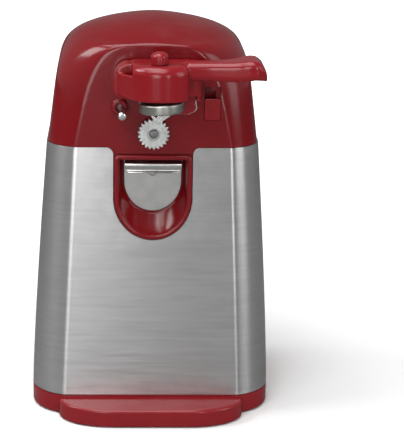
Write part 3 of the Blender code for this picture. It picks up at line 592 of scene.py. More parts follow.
@dataclass(frozen=True)
class Finish:
    """What every finish has: a name, a colour and its Principled shader."""

    name: str
    colour: tuple[float, float, float]

    def start(self) -> tuple[Material, Wiring, Node, Socket]:
        """Makes the material, and gives its wiring, shader and object coordinates.

        Returns:
            The material, its wiring, its shader and the coordinates.
        """
        made = bpy.data.materials.new(self.name)
        made.use_nodes = True
        wire = Wiring(made.node_tree)
        shader = made.node_tree.nodes["Principled BSDF"]
        shader.inputs["Base Color"].default_value = (*self.colour, 1.0)
        place = wire.add("ShaderNodeTexCoord").outputs["Object"]
        return made, wire, shader, place

    @staticmethod
    def plug(made: Material, shader: Node, base: Socket, rough: Socket, bump: Node) -> None:
        """Links what varies over the surface to the shader.

        Args:
            made: the material.
            shader: its shader.
            base, rough: the colour and the roughness.
            bump: the Bump node.
        """
        links = made.node_tree.links
        links.new(base, shader.inputs["Base Color"])
        links.new(rough, shader.inputs["Roughness"])
        links.new(bump.outputs[0], shader.inputs["Normal"])

    def material(self) -> Material:
        """The material, built on first use."""
        return bpy.data.materials.get(self.name) or self.build()

    def build(self) -> Material:
        """Builds the material's nodes."""
        raise NotImplementedError


def tone(colour: Sequence[float], share: float) -> tuple[float, float, float, float]:
    """A colour made lighter or darker."""
    return (min(1.0, colour[0] * share), min(1.0, colour[1] * share), min(1.0, colour[2] * share), 1.0)


@dataclass(frozen=True)
class GlossPlastic(Finish):
    """Moulded plastic with a gloss: faint waviness, rubbed edges and a little dust."""

    roughness: float = 0.16
    wave: float = 0.02
    wear: float = 0.4
    dust: float = 0.04

    def build(self) -> Material:
        """Builds the moulded plastic.

        Returns:
            The material.
        """
        made, wire, shader, place = self.start()
        grain = Groups.place(wire, "surface_grain", Vector=place, Scale=1500.0, Smoothest=self.roughness * 0.85,
                             Roughest=self.roughness * 1.3, Drift_scale=38.0)
        rub = Groups.place(wire, "edge_wear", Vector=place, Amount=self.wear)
        dust = Groups.place(wire, "settled_dust", Vector=place, Amount=self.dust)
        cloud = wire.add("ShaderNodeTexNoise", Vector=place, Scale=26.0, Detail=3.0)
        base = wire.mix(cloud.outputs[0], tone(self.colour, 0.93), tone(self.colour, 1.07))
        base = wire.mix(rub.outputs["Mask"], base, tone(self.colour, 1.35))
        base = wire.mix(dust.outputs["Mask"], base, (0.55, 0.52, 0.5, 1.0))
        rough = wire.math("MULTIPLY_ADD", dust.outputs["Mask"], 0.35, grain.outputs["Roughness"])
        rough = wire.math("MULTIPLY_ADD", rub.outputs["Mask"], 0.1, rough, clamp=True)
        peel = wire.add("ShaderNodeTexNoise", Vector=place, Scale=240.0, Detail=1.0)
        height = wire.math("MULTIPLY_ADD", grain.outputs["Height"], 0.12, peel.outputs[0])
        bump = wire.add("ShaderNodeBump", Strength=self.wave * 4.0, Distance=0.0004, Height=height)
        self.plug(made, shader, base, rough, bump)
        shader.inputs["Coat Weight"].default_value = 0.08
        shader.inputs["Coat Roughness"].default_value = 0.05
        shader.inputs["IOR"].default_value = 1.39
        return made


@dataclass(frozen=True)
class BrushedMetal(Finish):
    """Sheet metal with belt lines, fine scratches and bright rubbed edges."""

    smooth: float = 0.27
    rough: float = 0.36
    stretch: tuple[float, float, float] = (1.0, 1.0, 100.0)
    scale: float = 38.0
    contrast: float = 0.13
    anisotropic: float = 0.85
    bump: float = 0.08

    def build(self) -> Material:
        """Builds the brushed metal.

        Returns:
            The material.
        """
        made, wire, shader, place = self.start()
        lines = Groups.place(wire, "brushed_lines", Vector=place, Stretch=self.stretch, Scale=self.scale,
                             Smoothest=self.smooth, Roughest=self.rough)
        rub = Groups.place(wire, "edge_wear", Vector=place, Amount=0.6)
        cloud = wire.add("ShaderNodeTexNoise", Vector=place, Scale=14.0, Detail=4.0)
        base = wire.mix(lines.outputs["Shade"], tone(self.colour, 1.0 - self.contrast),
                        tone(self.colour, 1.0 + self.contrast))
        base = wire.mix(wire.remap(cloud.outputs[0], 0.35, 0.7, 0.0, 0.25), base, tone(self.colour, 0.82))
        base = wire.mix(rub.outputs["Mask"], base, tone(self.colour, 1.3))
        bump = wire.add("ShaderNodeBump", Strength=self.bump, Distance=0.0002, Height=lines.outputs["Height"])
        self.plug(made, shader, base, lines.outputs["Roughness"], bump)
        shader.inputs["Metallic"].default_value = 1.0
        if self.anisotropic:
            lay = wire.add("ShaderNodeTangent", {"direction_type": "RADIAL", "axis": "Z"})
            made.node_tree.links.new(lay.outputs[0], shader.inputs["Tangent"])
            shader.inputs["Anisotropic"].default_value = self.anisotropic
            shader.inputs["Anisotropic Rotation"].default_value = 0.25
        return made


@dataclass(frozen=True)
class GrainedSurface(Finish):
    """A plain surface with grain, drift of colour and rubbed edges, for whatever isn't glossed or brushed."""

    metallic: float = 0.0
    smooth: float = 0.4
    rough: float = 0.6
    scale: float = 900.0
    bump: float = 0.2
    spread: float = 0.12
    wear: float = 0.3

    def build(self) -> Material:
        """Builds the grained surface.

        Returns:
            The material.
        """
        made, wire, shader, place = self.start()
        grain = Groups.place(wire, "surface_grain", Vector=place, Scale=self.scale, Smoothest=self.smooth,
                             Roughest=self.rough, Drift_scale=45.0)
        rub = Groups.place(wire, "edge_wear", Vector=place, Amount=self.wear)
        spots = wire.add("ShaderNodeTexNoise", Vector=place, Scale=self.scale * 0.3, Detail=6.0, Roughness=0.65)
        base = wire.mix(wire.remap(spots.outputs[0], 0.3, 0.7, 0.0, 1.0), tone(self.colour, 1.0 - self.spread),
                        tone(self.colour, 1.0 + self.spread))
        base = wire.mix(rub.outputs["Mask"], base, tone(self.colour, 1.5))
        bump = wire.add("ShaderNodeBump", Strength=self.bump, Distance=0.0002, Height=grain.outputs["Height"])
        self.plug(made, shader, base, grain.outputs["Roughness"], bump)
        shader.inputs["Metallic"].default_value = self.metallic
        return made


@dataclass(frozen=True)
class Layered(Finish):
    """Metal in layers, such as a stack of laminations or a winding: fine bands across one axis."""

    second: tuple[float, float, float] = (0.05, 0.05, 0.05)
    axis: str = "Y"
    pitch: float = 0.8
    metallic: float = 0.7
    roughness: float = 0.5

    def build(self) -> Material:
        """Builds the layered metal.

        Returns:
            The material.
        """
        made, wire, shader, place = self.start()
        bands = wire.add("ShaderNodeTexWave", {"wave_type": "BANDS", "bands_direction": self.axis,
                                               "wave_profile": "SIN"},
                         Vector=place, Scale=math.tau / (20.0 * self.pitch * MM), Distortion=0.4, Detail=2.0)
        grain = Groups.place(wire, "surface_grain", Vector=place, Scale=700.0, Smoothest=self.roughness * 0.8,
                             Roughest=self.roughness * 1.2)
        base = wire.mix(wire.remap(bands.outputs["Fac"], 0.1, 0.6, 0.0, 1.0), (*self.second, 1.0), (*self.colour, 1.0))
        bump = wire.add("ShaderNodeBump", Strength=0.6, Distance=0.0003, Height=bands.outputs["Fac"])
        self.plug(made, shader, base, grain.outputs["Roughness"], bump)
        shader.inputs["Metallic"].default_value = self.metallic
        return made


RED = GlossPlastic("gloss_red_plastic", (0.15, 0.0038, 0.0065))
RED_BASE = GlossPlastic("gloss_red_base", (0.20, 0.009, 0.013))
# A lighter copy of the housing's red for the lever, its latch and its knob: painted light that stands in for the extra
# light falling on the lever.
RED_LEVER_PAINTED_LIGHTER = GlossPlastic("gloss_red_lever", (0.20, 0.005, 0.009), roughness=0.18)
WRAP_STEEL = BrushedMetal("brushed_steel_wrap", (0.62, 0.62, 0.62))
PLATE_STEEL = BrushedMetal("satin_steel_plate", (0.42, 0.42, 0.41), smooth=0.3, rough=0.44, stretch=(60.0, 1.0, 1.0),
                           anisotropic=0.0, contrast=0.1)
BRIGHT = GrainedSurface("bright_steel_plain", (0.62, 0.62, 0.61), metallic=1.0, smooth=0.16, rough=0.28, bump=0.06,
                        spread=0.06)
BLADE_STEEL = BrushedMetal("ground_blade_steel", (0.95, 0.95, 0.94), smooth=0.16, rough=0.3, stretch=(60.0, 1.0, 30.0),
                           anisotropic=0.0, contrast=0.08)
WHEEL_STEEL = GrainedSurface("stamped_wheel_steel", (0.5, 0.51, 0.5), metallic=1.0, smooth=0.32, rough=0.5,
                             scale=1400.0, bump=0.9, spread=0.22, wear=0.7)
SHAFT_STEEL = GrainedSurface("dull_shaft_steel", (0.26, 0.26, 0.26), metallic=1.0, smooth=0.4, rough=0.6,
                             scale=1800.0, bump=0.8, spread=0.35)
MAGNET_STEEL = GrainedSurface("magnet_cup_steel", (0.36, 0.355, 0.33), metallic=1.0, smooth=0.28, rough=0.42,
                              scale=600.0, bump=0.1, spread=0.08)
ZINC = GrainedSurface("zinc_steel", (0.46, 0.47, 0.48), metallic=1.0, smooth=0.3, rough=0.48, scale=220.0, spread=0.2)
RUBBER = GrainedSurface("moulded_rubber", (0.022, 0.022, 0.022), smooth=0.7, rough=0.9, scale=1200.0, bump=0.5,
                        spread=0.2, wear=0.2)
BLACK = GrainedSurface("textured_black_plastic", (0.018, 0.018, 0.019), smooth=0.38, rough=0.55, scale=1600.0,
                       bump=0.45)
NYLON = GrainedSurface("moulded_nylon", (0.74, 0.71, 0.63), smooth=0.35, rough=0.5, scale=500.0, bump=0.1, spread=0.05)
BRONZE = GrainedSurface("oiled_bronze", (0.42, 0.27, 0.12), metallic=1.0, smooth=0.4, rough=0.6, scale=2000.0,
                        bump=0.3, spread=0.2)
STONE = GrainedSurface("grinding_stone", (0.34, 0.33, 0.32), smooth=0.88, rough=1.0, scale=2600.0, bump=1.0,
                       spread=0.35)
FERRITE = GrainedSurface("ferrite_magnet", (0.05, 0.05, 0.055), metallic=0.3, smooth=0.5, rough=0.7, scale=1500.0)
LAMINATION = Layered("stacked_iron", (0.22, 0.22, 0.23))
COPPER = Layered("wound_copper", (0.5, 0.19, 0.08), second=(0.16, 0.05, 0.02), axis="X", pitch=0.6, roughness=0.35)

SLOT_FINISH: dict[str, Finish] = {
    "red_plastic": RED, "brushed_steel": WRAP_STEEL, "bright_steel": ZINC, "laminated_iron": LAMINATION,
    "copper_winding": COPPER, "white_nylon": NYLON, "black_plastic": BLACK, "black_rubber": RUBBER,
    "sintered_bronze": BRONZE, "grey_stone": STONE, "ferrite": FERRITE}


def dress(piece: Piece, finish: Finish) -> Piece:
    """Gives a piece one finish.

    Args:
        piece: what is dressed.
        finish: what it gets.

    Returns:
        The same piece.
    """
    piece.data.materials.clear()
    piece.data.materials.append(finish.material())
    return piece


def hand_over(piece: Piece, body: str, slot: str, *nodes: str) -> Piece:
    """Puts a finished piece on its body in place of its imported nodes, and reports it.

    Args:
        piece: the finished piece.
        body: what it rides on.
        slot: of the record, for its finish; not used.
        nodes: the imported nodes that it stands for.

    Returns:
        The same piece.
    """
    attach(piece, body)
    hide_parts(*nodes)
    log.info("%s: %d faces on %s, for %s", piece.name, len(piece.data.polygons), body, ", ".join(nodes))
    return piece


# ------------------------------------------------------------------ geometry trees

def close_tree(wire: Wiring, shape: Socket, into: dict, out: dict) -> None:
    """Ends a tree with plain geometry that carries its finish.

    Args:
        wire: the tree's wiring.
        shape: the geometry.
        into, out: the tree's input and output sockets by name.
    """
    real = wire.add("GeometryNodeRealizeInstances", Geometry=shape)
    dressed = wire.add("GeometryNodeSetMaterial", Geometry=real.outputs[0], Material=into["Finish"])
    wire.tree.links.new(dressed.outputs[0], out["Geometry"])


class ToothedDisc:
    """A Geometry Nodes tree for a disc with teeth, used by the can wheel and by every gear."""

    inputs: list[tuple[str, str, object]] = [
        ("Teeth", "NodeSocketInt", 22), ("Samples", "NodeSocketInt", 12), ("Root", VALUE, 0.007),
        ("Tip", VALUE, 0.0083), ("Rise start", VALUE, 0.0), ("Rise end", VALUE, 0.55), ("Fall start", VALUE, 0.72),
        ("Fall end", VALUE, 1.0), ("Bore", VALUE, 0.002), ("Hub", VALUE, 0.004), ("Step", VALUE, 0.0),
        ("Thickness", VALUE, 0.0026), ("Chamfer", VALUE, 0.0002), ("Phase", VALUE, 0.0), ("Centre", VECTOR, None),
        ("Finish", "NodeSocketMaterial", None)]

    @classmethod
    def tree(cls) -> Tree:
        """The tree, built on first use.

        Returns:
            The tree.
        """
        found = bpy.data.node_groups.get("toothed_disc")
        if found:
            return found
        tree, wire, into, out = group("toothed_disc", "GeometryNodeTree", cls.inputs,
                                      [("Geometry", "NodeSocketGeometry")])
        rows = 9
        columns = wire.math("MULTIPLY", into["Teeth"], into["Samples"])
        grid = wire.add("GeometryNodeMeshGrid", Vertices_X=wire.math("ADD", columns, 1.0), Vertices_Y=rows)
        index = wire.add("GeometryNodeInputIndex").outputs[0]
        column = wire.math("FLOOR", wire.math("DIVIDE", wire.math("ADD", index, 0.5), float(rows)))
        row = wire.math("SUBTRACT", index, wire.math("MULTIPLY", column, float(rows)))
        share = wire.math("FRACT", wire.math("DIVIDE", wire.math("ADD", column, 0.001), into["Samples"]))
        rise = wire.math("DIVIDE", wire.math("SUBTRACT", share, into["Rise start"]),
                         wire.math("SUBTRACT", into["Rise end"], into["Rise start"]))
        fall = wire.math("DIVIDE", wire.math("SUBTRACT", into["Fall end"], share),
                         wire.math("SUBTRACT", into["Fall end"], into["Fall start"]))
        tooth = wire.math("MINIMUM", rise, fall, clamp=True)
        edge = wire.math("MULTIPLY_ADD", tooth, wire.math("SUBTRACT", into["Tip"], into["Root"]), into["Root"])
        inset = wire.math("SUBTRACT", edge, into["Chamfer"])
        back = into["Thickness"]
        radii = [into["Bore"], into["Hub"], into["Hub"], inset, edge, edge, inset, into["Bore"], into["Bore"]]
        near = wire.math("MULTIPLY", into["Step"], -1.0)
        depths = [near, near, 0.0, 0.0, into["Chamfer"], wire.math("SUBTRACT", back, into["Chamfer"]), back, back, near]
        radius = cls.pick(wire, row, radii)
        depth = cls.pick(wire, row, depths)
        angle = wire.math("MULTIPLY_ADD", wire.math("DIVIDE", column, columns), math.tau, into["Phase"])
        place = wire.add("ShaderNodeCombineXYZ", X=wire.math("MULTIPLY", radius, wire.math("COSINE", angle)), Y=depth,
                         Z=wire.math("MULTIPLY", radius, wire.math("SINE", angle)))
        moved = wire.add("ShaderNodeVectorMath", {"operation": "ADD"}, i0=place.outputs[0], i1=into["Centre"])
        shape = wire.add("GeometryNodeSetPosition", Geometry=grid.outputs["Mesh"], Position=moved.outputs[0])
        merged = wire.add("GeometryNodeMergeByDistance", Geometry=shape.outputs[0], Distance=1e-6)
        close_tree(wire, merged.outputs[0], into, out)
        return tree

    @staticmethod
    def pick(wire: Wiring, row: Socket, values: Sequence[object]) -> Socket:
        """Chooses one value for each row of the section.

        Args:
            wire: the wiring of the tree.
            row: which row.
            values: one for each row.

        Returns:
            The chosen value.
        """
        switch = wire.add("GeometryNodeIndexSwitch", {"data_type": "FLOAT"})
        while len(switch.index_switch_items) < len(values):
            switch.index_switch_items.new()
        wire.tree.links.new(row, switch.inputs[0])
        for i, value in enumerate(values):
            if isinstance(value, Socket):
                wire.tree.links.new(value, switch.inputs[i + 1])
            else:
                switch.inputs[i + 1].default_value = value
        return switch.outputs[0]

    @classmethod
    def disc(cls, name: str, finish: Finish, **values: object) -> Piece:
        """Builds one toothed disc as a plain mesh.

        Args:
            name: of the object.
            finish: of its surface.
            values: the tree's inputs by name, in metres, with underscores for spaces.

        Returns:
            The object.
        """
        return bake_tree(name, cls.tree(), {**values, "Finish": finish.material()})


def bake_tree(name: str, tree: Tree, values: dict[str, object], mesh: bpy.types.Mesh | None = None) -> Piece:
    """Runs a Geometry Nodes tree and keeps its result.

    Args:
        name: of the object.
        tree: the tree.
        values: its inputs by name, with underscores for spaces.
        mesh: what it runs on, or nothing.

    Returns:
        An object with a plain mesh, merged and facing outwards.
    """
    piece = put_in_scene(name, mesh or bpy.data.meshes.new(name))
    step = piece.modifiers.new("shape", "NODES")
    step.node_group = tree
    identifiers = {s.name: s.identifier for s in tree.interface.items_tree if s.in_out == "INPUT"}
    for label, value in values.items():
        step[identifiers[label.replace("_", " ")]] = value
    settle(piece)
    bm = bmesh.new()
    bm.from_mesh(piece.data)
    bmesh.ops.remove_doubles(bm, verts=bm.verts, dist=1e-7)
    bmesh.ops.recalc_face_normals(bm, faces=bm.faces)
    bm.to_mesh(piece.data)
    bm.free()
    return piece


class RepeatedTurning:
    """A Geometry Nodes tree that sets a turned piece on several places: rubber feet and screws."""

    inputs: list[tuple[str, str, object]] = [
        ("Places", "NodeSocketGeometry", None), ("Shape", "NodeSocketObject", None),
        ("Finish", "NodeSocketMaterial", None)]

    @classmethod
    def tree(cls) -> Tree:
        """The tree, built on first use.

        Returns:
            The tree.
        """
        found = bpy.data.node_groups.get("repeated_turning")
        if found:
            return found
        tree, wire, into, out = group("repeated_turning", "GeometryNodeTree", cls.inputs,
                                      [("Geometry", "NodeSocketGeometry")])
        shape = wire.add("GeometryNodeObjectInfo", Object=into["Shape"])
        copies = wire.add("GeometryNodeInstanceOnPoints", Points=into["Places"], Instance=shape.outputs["Geometry"])
        close_tree(wire, copies.outputs[0], into, out)
        return tree

    @classmethod
    def set_out(cls, name: str, shape: Piece, places: Sequence[Point], finish: Finish) -> Piece:
        """Copies a shape, modelled at the origin, to each place and bakes the result to one mesh.

        Args:
            name: of the result.
            shape: what is copied, then discarded.
            places: where to.
            finish: of the result.

        Returns:
            The baked piece.
        """
        mesh = bpy.data.meshes.new(name)
        mesh.from_pydata([Vector(place) * MM for place in places], [], [])
        piece = bake_tree(name, cls.tree(), {"Shape": shape, "Finish": finish.material()}, mesh)
        discard(shape)
        return piece


# ------------------------------------------------------------------ the body's form

@dataclass(frozen=True)
class BodyForm:
    """The outer form that the base, the steel, the housings and the front's furniture all follow."""

    shift_y: float = 4.8
    half_base: float = 65.0
    back_y: float = 63.74
    base_z: float = 11.6
    seam_z: float = 149.5
    ridge_z: float = 203.2
    top_z: float = 213.2
    seam_half: float = 56.2
    taper: float = 0.127
    crease_base: float = 47.5
    crease_seam: float = 41.0
    crease_turn: float = math.radians(18.7)
    arch_taper: float = 0.205
    lean: float = 3.8 / 137.9
    parting_y: float = 16.8
    head_inset: float = 0.6
    wall: float = 2.4

    @property
    def base_front(self) -> float:
        """Y of the front plane at the bottom of the steel."""
        return -41.6 + self.shift_y

    @property
    def crown_y(self) -> float:
        """Y of the top of the dome."""
        return 10.0 + self.shift_y

    def front(self, z: float) -> float:
        """Y of the front plane, which leans back up to the ridge."""
        return self.base_front + self.lean * (min(z, self.ridge_z) - self.base_z)

    def half(self, z: float) -> float:
        """Half the body's width at a height.

        Args:
            z: the height.

        Returns:
            Half the width.
        """
        if z <= self.seam_z:
            rise = max(0.0, (z - self.base_z) / (self.seam_z - self.base_z))
            return self.half_base - (self.half_base - self.seam_half) * rise ** 1.25
        share = min(1.0, (z - self.seam_z) / (self.top_z - self.seam_z))
        return (self.seam_half - self.taper * (z - self.seam_z)) * (1.0 - share ** 9.8) ** (1.0 / 1.45)

    def crease(self, z: float) -> float:
        """Half the width of the flat front.

        Args:
            z: the height.

        Returns:
            Half the width.
        """
        if z <= self.seam_z:
            share = (z - self.base_z) / (self.seam_z - self.base_z)
            return self.crease_base + (self.crease_seam - self.crease_base) * share
        share = min(1.0, (z - self.seam_z) / (self.ridge_z - self.seam_z))
        return (self.crease_seam - self.arch_taper * (z - self.seam_z)) * (1.0 - share ** 4.5) ** (1.0 / 4.5)

    def turn(self, z: float) -> float:
        """How sharply the corner starts at the crease, which softens to nothing at the top of the arch."""
        return self.crease_turn * min(1.0, 1.25 * self.crease(z) / self.crease_seam) ** 0.8

    def measures(self, z: float, inset: float = 0.0) -> dict[str, float]:
        """The sizes of the outline at a height, moved inwards by inset.

        Args:
            z: the height.
            inset: how far inwards.

        Returns:
            width, crease, face, side, back, rear_x, rear_y and the corner's turn, span_x and span_y.
        """
        crown = self.crown_y
        width = max(self.half(z) - inset, 3.0)
        crease = self.crease(z)
        face = self.front(z)
        if z > self.ridge_z:
            share = (z - self.ridge_z) / (self.top_z - self.ridge_z)
            face = crown - (crown - face) * max(0.0, 1.0 - share) ** 0.55
            crease = 0.0
        face = min(face + inset, crown - 2.0)
        crease = min(max(crease, 0.04 * width), 0.9 * width)
        side = max(blend(-19.5 + self.shift_y, crown, (z - 180.0) / (self.top_z - 180.0)), face + 0.4)
        dome = max(0.0, (z - self.seam_z) / (self.top_z - self.seam_z))
        back = crown + (self.back_y - 4.4 * min(1.0, z / self.seam_z) - crown) * (1.0 - dome ** 2.6) ** (1.0 / 2.2)
        back = max(back - inset, crown + 2.0)
        rear = (z - 128.0) / 84.0
        turn = self.turn(z)
        return dict(width=width, crease=crease, face=face, side=side, back=back, turn=turn,
                    span_x=(width - crease) / (1.0 - math.sin(turn)), span_y=(side - face) / math.cos(turn),
                    rear_x=min(blend(21.0, width, rear), 0.98 * width),
                    rear_y=min(blend(21.0, 60.0, rear), back - crown))

    def half_at(self, y: float, z: float, inset: float = 0.0) -> float:
        """Half the width at a depth y and a height z, or 0 in front of the face.

        Args:
            y: the depth.
            z: the height.
            inset: how far inwards.

        Returns:
            Half the width.
        """
        m = self.measures(z, inset)
        if y <= m["side"]:
            if y < m["face"]:
                return 0.0
            cosine = min(1.0, (m["side"] - y) / m["span_y"])
            return m["width"] - m["span_x"] * (1.0 - math.sqrt(1.0 - cosine * cosine))
        start = m["back"] - m["rear_y"]
        if y <= start:
            return m["width"]
        sine = min(1.0, (y - start) / m["rear_y"])
        return m["width"] - m["rear_x"] * (1.0 - math.sqrt(1.0 - sine * sine))

    def outline(self, z: float, inset: float = 0.0, corner: int = 18, rear: int = 18,
                round_off: float = 1.2) -> Outline:
        """The whole outline at a height, from the right crease round the back to the left one.

        Args:
            z: the height where the form is read.
            inset: how far inwards.
            corner: steps along each front corner.
            rear: steps along each rear corner.
            round_off: how far the crease's soft edge reaches, each way.

        Returns:
            Points (x, y), anticlockwise.
        """
        m = self.measures(z, inset)
        curve: Outline = []
        for i in range(corner + 1):
            angle = m["turn"] + (math.pi / 2 - m["turn"]) * (i / corner) ** 1.1
            curve.append((m["width"] - m["span_x"] * (1.0 - math.sin(angle)),
                          m["side"] - m["span_y"] * math.cos(angle)))
        along = Vector((curve[1][0] - curve[0][0], curve[1][1] - curve[0][1])).normalized() * round_off
        before = (curve[0][0] - min(round_off, curve[0][0] * 0.5), curve[0][1])
        after = (curve[0][0] + along.x, curve[0][1] + along.y)
        right = quarter(before, after, curve[0], 4)
        right += [p for p in curve[1:] if math.dist(p, curve[0]) > round_off * 1.3]
        for i in range(rear + 1):
            angle = math.pi / 2 * i / rear
            right.append((m["width"] - m["rear_x"] * (1.0 - math.cos(angle)),
                          m["back"] - m["rear_y"] * (1.0 - math.sin(angle))))
        right[-1] = (max(right[-1][0], 0.6), m["back"])
        return right + [(-x, y) for x, y in reversed(right)]

    def open_front(self, z: float, inset: float, end_y: float, corner: int = 18, round_off: float = 1.2) -> Outline:
        """The front part of the outline, from the left at end_y round the face to the right at end_y.

        Args:
            z: the height.
            inset: how far inwards.
            end_y: where both ends lie.
            corner: points round each corner, less one.
            round_off: how far the crease is rounded.

        Returns:
            An open row of points.
        """
        full = self.outline(z, inset, corner, 4, round_off)
        right = [p for p in full[:len(full) // 2] if p[1] < end_y - 0.5]
        right.append((self.half_at(end_y, z, inset), end_y))
        return [(-x, y) for x, y in reversed(right)] + right

    def open_rear(self, z: float, inset: float, start_y: float, steps: int = 40) -> Outline:
        """The rear part of the outline, from the right at start_y round the back to the left.

        Args:
            z: the height.
            inset: how far inwards.
            start_y: where both ends lie.
            steps: points along it, less one.

        Returns:
            An open row of points.
        """
        m = self.measures(z, inset)
        start = m["back"] - m["rear_y"]
        right: Outline = [(self.half_at(start_y, z, inset), start_y)]
        for i in range(steps + 1):
            angle = math.pi / 2 * i / steps
            x = m["width"] - m["rear_x"] * (1.0 - math.cos(angle))
            y = start + m["rear_y"] * math.sin(angle)
            right.append((x, max(y, start_y + 0.02 * (i + 1))))
        right[-1] = (max(right[-1][0], 0.3), m["back"])
        return right + [(-x, y) for x, y in reversed(right)]


FORM = BodyForm()
DRIVE_AXIS: Flat = (0.0, 157.6)
SECOND_AXIS: Flat = (-18.0, 133.6)
FIRST_AXIS: Flat = (3.6, 124.6)
MOTOR_AXIS: Flat = (0.0, 106.05)
PIVOT: Flat = (-13.0, 188.0)
GUIDE: Flat = (-16.4, 168.5)
GUIDE_BOSS: Flat = (-17.8, 171.0)
CORD_AXIS: Flat = (0.0, 20.0)
BASE_TOP = 11.2
LEVER_BACK = -34.1
WHEEL_FRONT, WHEEL_BACK = -37.4, -34.8


def on_front(outline: Outline, depth: float) -> list[Point]:
    """Lays an (x, z) outline at a depth behind the front plane."""
    return [(x, FORM.front(z) + depth, z) for x, z in outline]


@dataclass(frozen=True)
class Bowl:
    """A U standing on its bowl: round top corners, straight sides and half an ellipse below."""

    half: float
    top: float
    bottom: float
    bend: float
    corner: float = 2.6

    def outline(self, grow: float = 0.0, steps: int = 8, bowl: int = 56) -> Outline:
        """The loop of points, anticlockwise from the right side, made larger by grow.

        Args:
            grow: how much larger.
            steps: points round each top corner, less one.
            bowl: points round the bowl, less one.

        Returns:
            A closed loop of (x, z).
        """
        half, top, bottom, corner = self.half + grow, self.top + grow, self.bottom - grow, self.corner + grow
        corner = max(corner, 0.25)
        loop: Outline = []
        for middle, turn in ((half - corner, 0.0), (-half + corner, math.pi / 2)):
            for i in range(steps + 1):
                angle = turn + math.pi / 2 * i / steps
                loop.append((middle + corner * math.cos(angle), top - corner + corner * math.sin(angle)))
        for i in range(bowl + 1):
            angle = math.pi + math.pi * i / bowl
            loop.append((half * math.cos(angle), self.bend + (self.bend - bottom) * math.sin(angle)))
        return loop


RIM = Bowl(20.4, 145.4, 99.8, 122.5)
MOUTH = Bowl(16.0, 142.8, 112.4, 130.0, 1.2)
CUT_CORNER = 3.8


# ------------------------------------------------------------------ base

@dataclass
class Base:
    """The plastic base with its foot in front, its rubber feet and its screws."""

    feet_z: float = 0.5
    foot_front: float = -55.2
    foot_half: float = 49.9
    foot_top: float = 10.2
    corner: Flat = (29.0, 18.0)
    pads: tuple[Flat, ...] = ((-40.0, -19.2), (40.0, -19.2), (-40.0, 44.8), (40.0, 44.8))
    screws: tuple[Flat, ...] = ((-24.0, -19.2), (24.0, -19.2), (-24.0, 46.8), (24.0, 46.8))

    def foot_outline(self, inset: float = 0.0) -> Outline:
        """Plan of the foot: a flat front with elliptical corners, running back under the body.

        Args:
            inset: how far inwards.

        Returns:
            A closed loop.
        """
        half, front = self.foot_half - inset, self.foot_front + inset
        span_x, span_y = self.corner[0] - inset, self.corner[1] - inset
        right = [(half - span_x * (1.0 - math.sin(math.pi / 2 * i / 20)),
                  front + span_y * (1.0 - math.cos(math.pi / 2 * i / 20))) for i in range(21)]
        right.append((half, -19.2))
        return right + [(-x, y) for x, y in reversed(right)]

    def build(self) -> None:
        """Builds and dresses the tray, the rubber feet and the screws."""
        low = self.feet_z
        plan = FORM.outline(FORM.base_z, round_off=2.0)
        levels = [(0.985, low), (0.996, low + 0.5), (1.0, low + 1.4), (1.0, BASE_TOP - 0.5), (0.9985, BASE_TOP - 0.12),
                  (0.995, BASE_TOP)]
        tray = make("base_moulding", loft([[(x * share, FORM.shift_y + (y - FORM.shift_y) * share, z)
                                            for x, y in plan] for share, z in levels]))
        top, radius = self.foot_top, 1.7
        rings = [(0.7, low), (0.2, low + 0.4), (0.0, low + 1.0)]
        rings += [(radius * (1.0 - math.cos(math.radians(a))), top - radius * (1.0 - math.sin(math.radians(a))))
                  for a in (0, 18, 36, 54, 72, 90)]
        foot = loft([[(x, y, z) for x, y in self.foot_outline(inset)] for inset, z in rings])
        inside = prism_z(FORM.outline(FORM.base_z, FORM.wall), low + FORM.wall, BASE_TOP + 5.0)
        carve(tray, Solve.ADD, foot)
        pocket = [(x, y) for x, y in self.foot_outline(FORM.wall) if y < FORM.base_front - 0.2]
        carve(tray, Solve.CUT, inside, prism_z(pocket, low - 5.0, top - FORM.wall),
              *[turned(pad, [(low - 3.0, 6.8), (low + 1.4, 6.8)], Turn.Z, 48) for pad in self.pads],
              *[turned(at, [(low - 3.0, 3.6), (low + 1.0, 3.6)], Turn.Z, 32) for at in self.screws],
              *[turned(at, [(low - 3.0, 1.9), (low + 6.0, 1.9)], Turn.Z, 32) for at in self.screws])
        hand_over(dress(even_shading(tray), RED_BASE), "body", "red_plastic", "base_tray")
        self.build_pads()
        self.build_screws()

    def build_pads(self) -> None:
        """Rubber feet with a ring groove in their underside."""
        profile = [(0.5, 0.2), (0.5, 1.9), (0.1, 2.3), (0.0, 2.7), (0.0, 3.4), (0.1, 3.8), (0.5, 4.1), (0.5, 4.6),
                   (0.1, 4.9), (0.0, 5.2), (0.0, 5.7), (0.2, 6.2), (0.6, 6.5), (1.6, 6.5)]
        pad = even_shading(make("pad_shape", turned((0.0, 0.0), profile, Turn.Z, 56)))
        feet = RepeatedTurning.set_out("rubber_feet", pad, [(x, y, 0.0) for x, y in self.pads], RUBBER)
        hand_over(feet, "body", "black_rubber", *[f"foot_pad_{i}" for i in range(1, 5)])

    def build_screws(self) -> None:
        """Pan-head screws with a cross recess, sunk in the base."""
        low = self.feet_z
        profile = [(low + 0.12, 1.6), (low + 0.2, 2.3), (low + 0.36, 2.85), (low + 0.55, 3.1), (low + 0.72, 3.1),
                   (low + 0.73, 1.5), (low + 11.0, 1.5)]
        screw = make("screw_shape", turned((0.0, 0.0), profile, Turn.Z, 32))
        carve(screw, Solve.CUT, block((-1.5, -0.3, low - 1.0), (1.5, 0.3, low + 0.55)),
              block((-0.3, -1.5, low - 1.0), (0.3, 1.5, low + 0.55)))
        even_shading(screw)
        screws = RepeatedTurning.set_out("base_screws", screw, [(x, y, 0.0) for x, y in self.screws], BRIGHT)
        hand_over(screws, "body", "bright_steel", *[f"base_screw_{i}" for i in range(1, 5)])


# ------------------------------------------------------------------ steel wrap

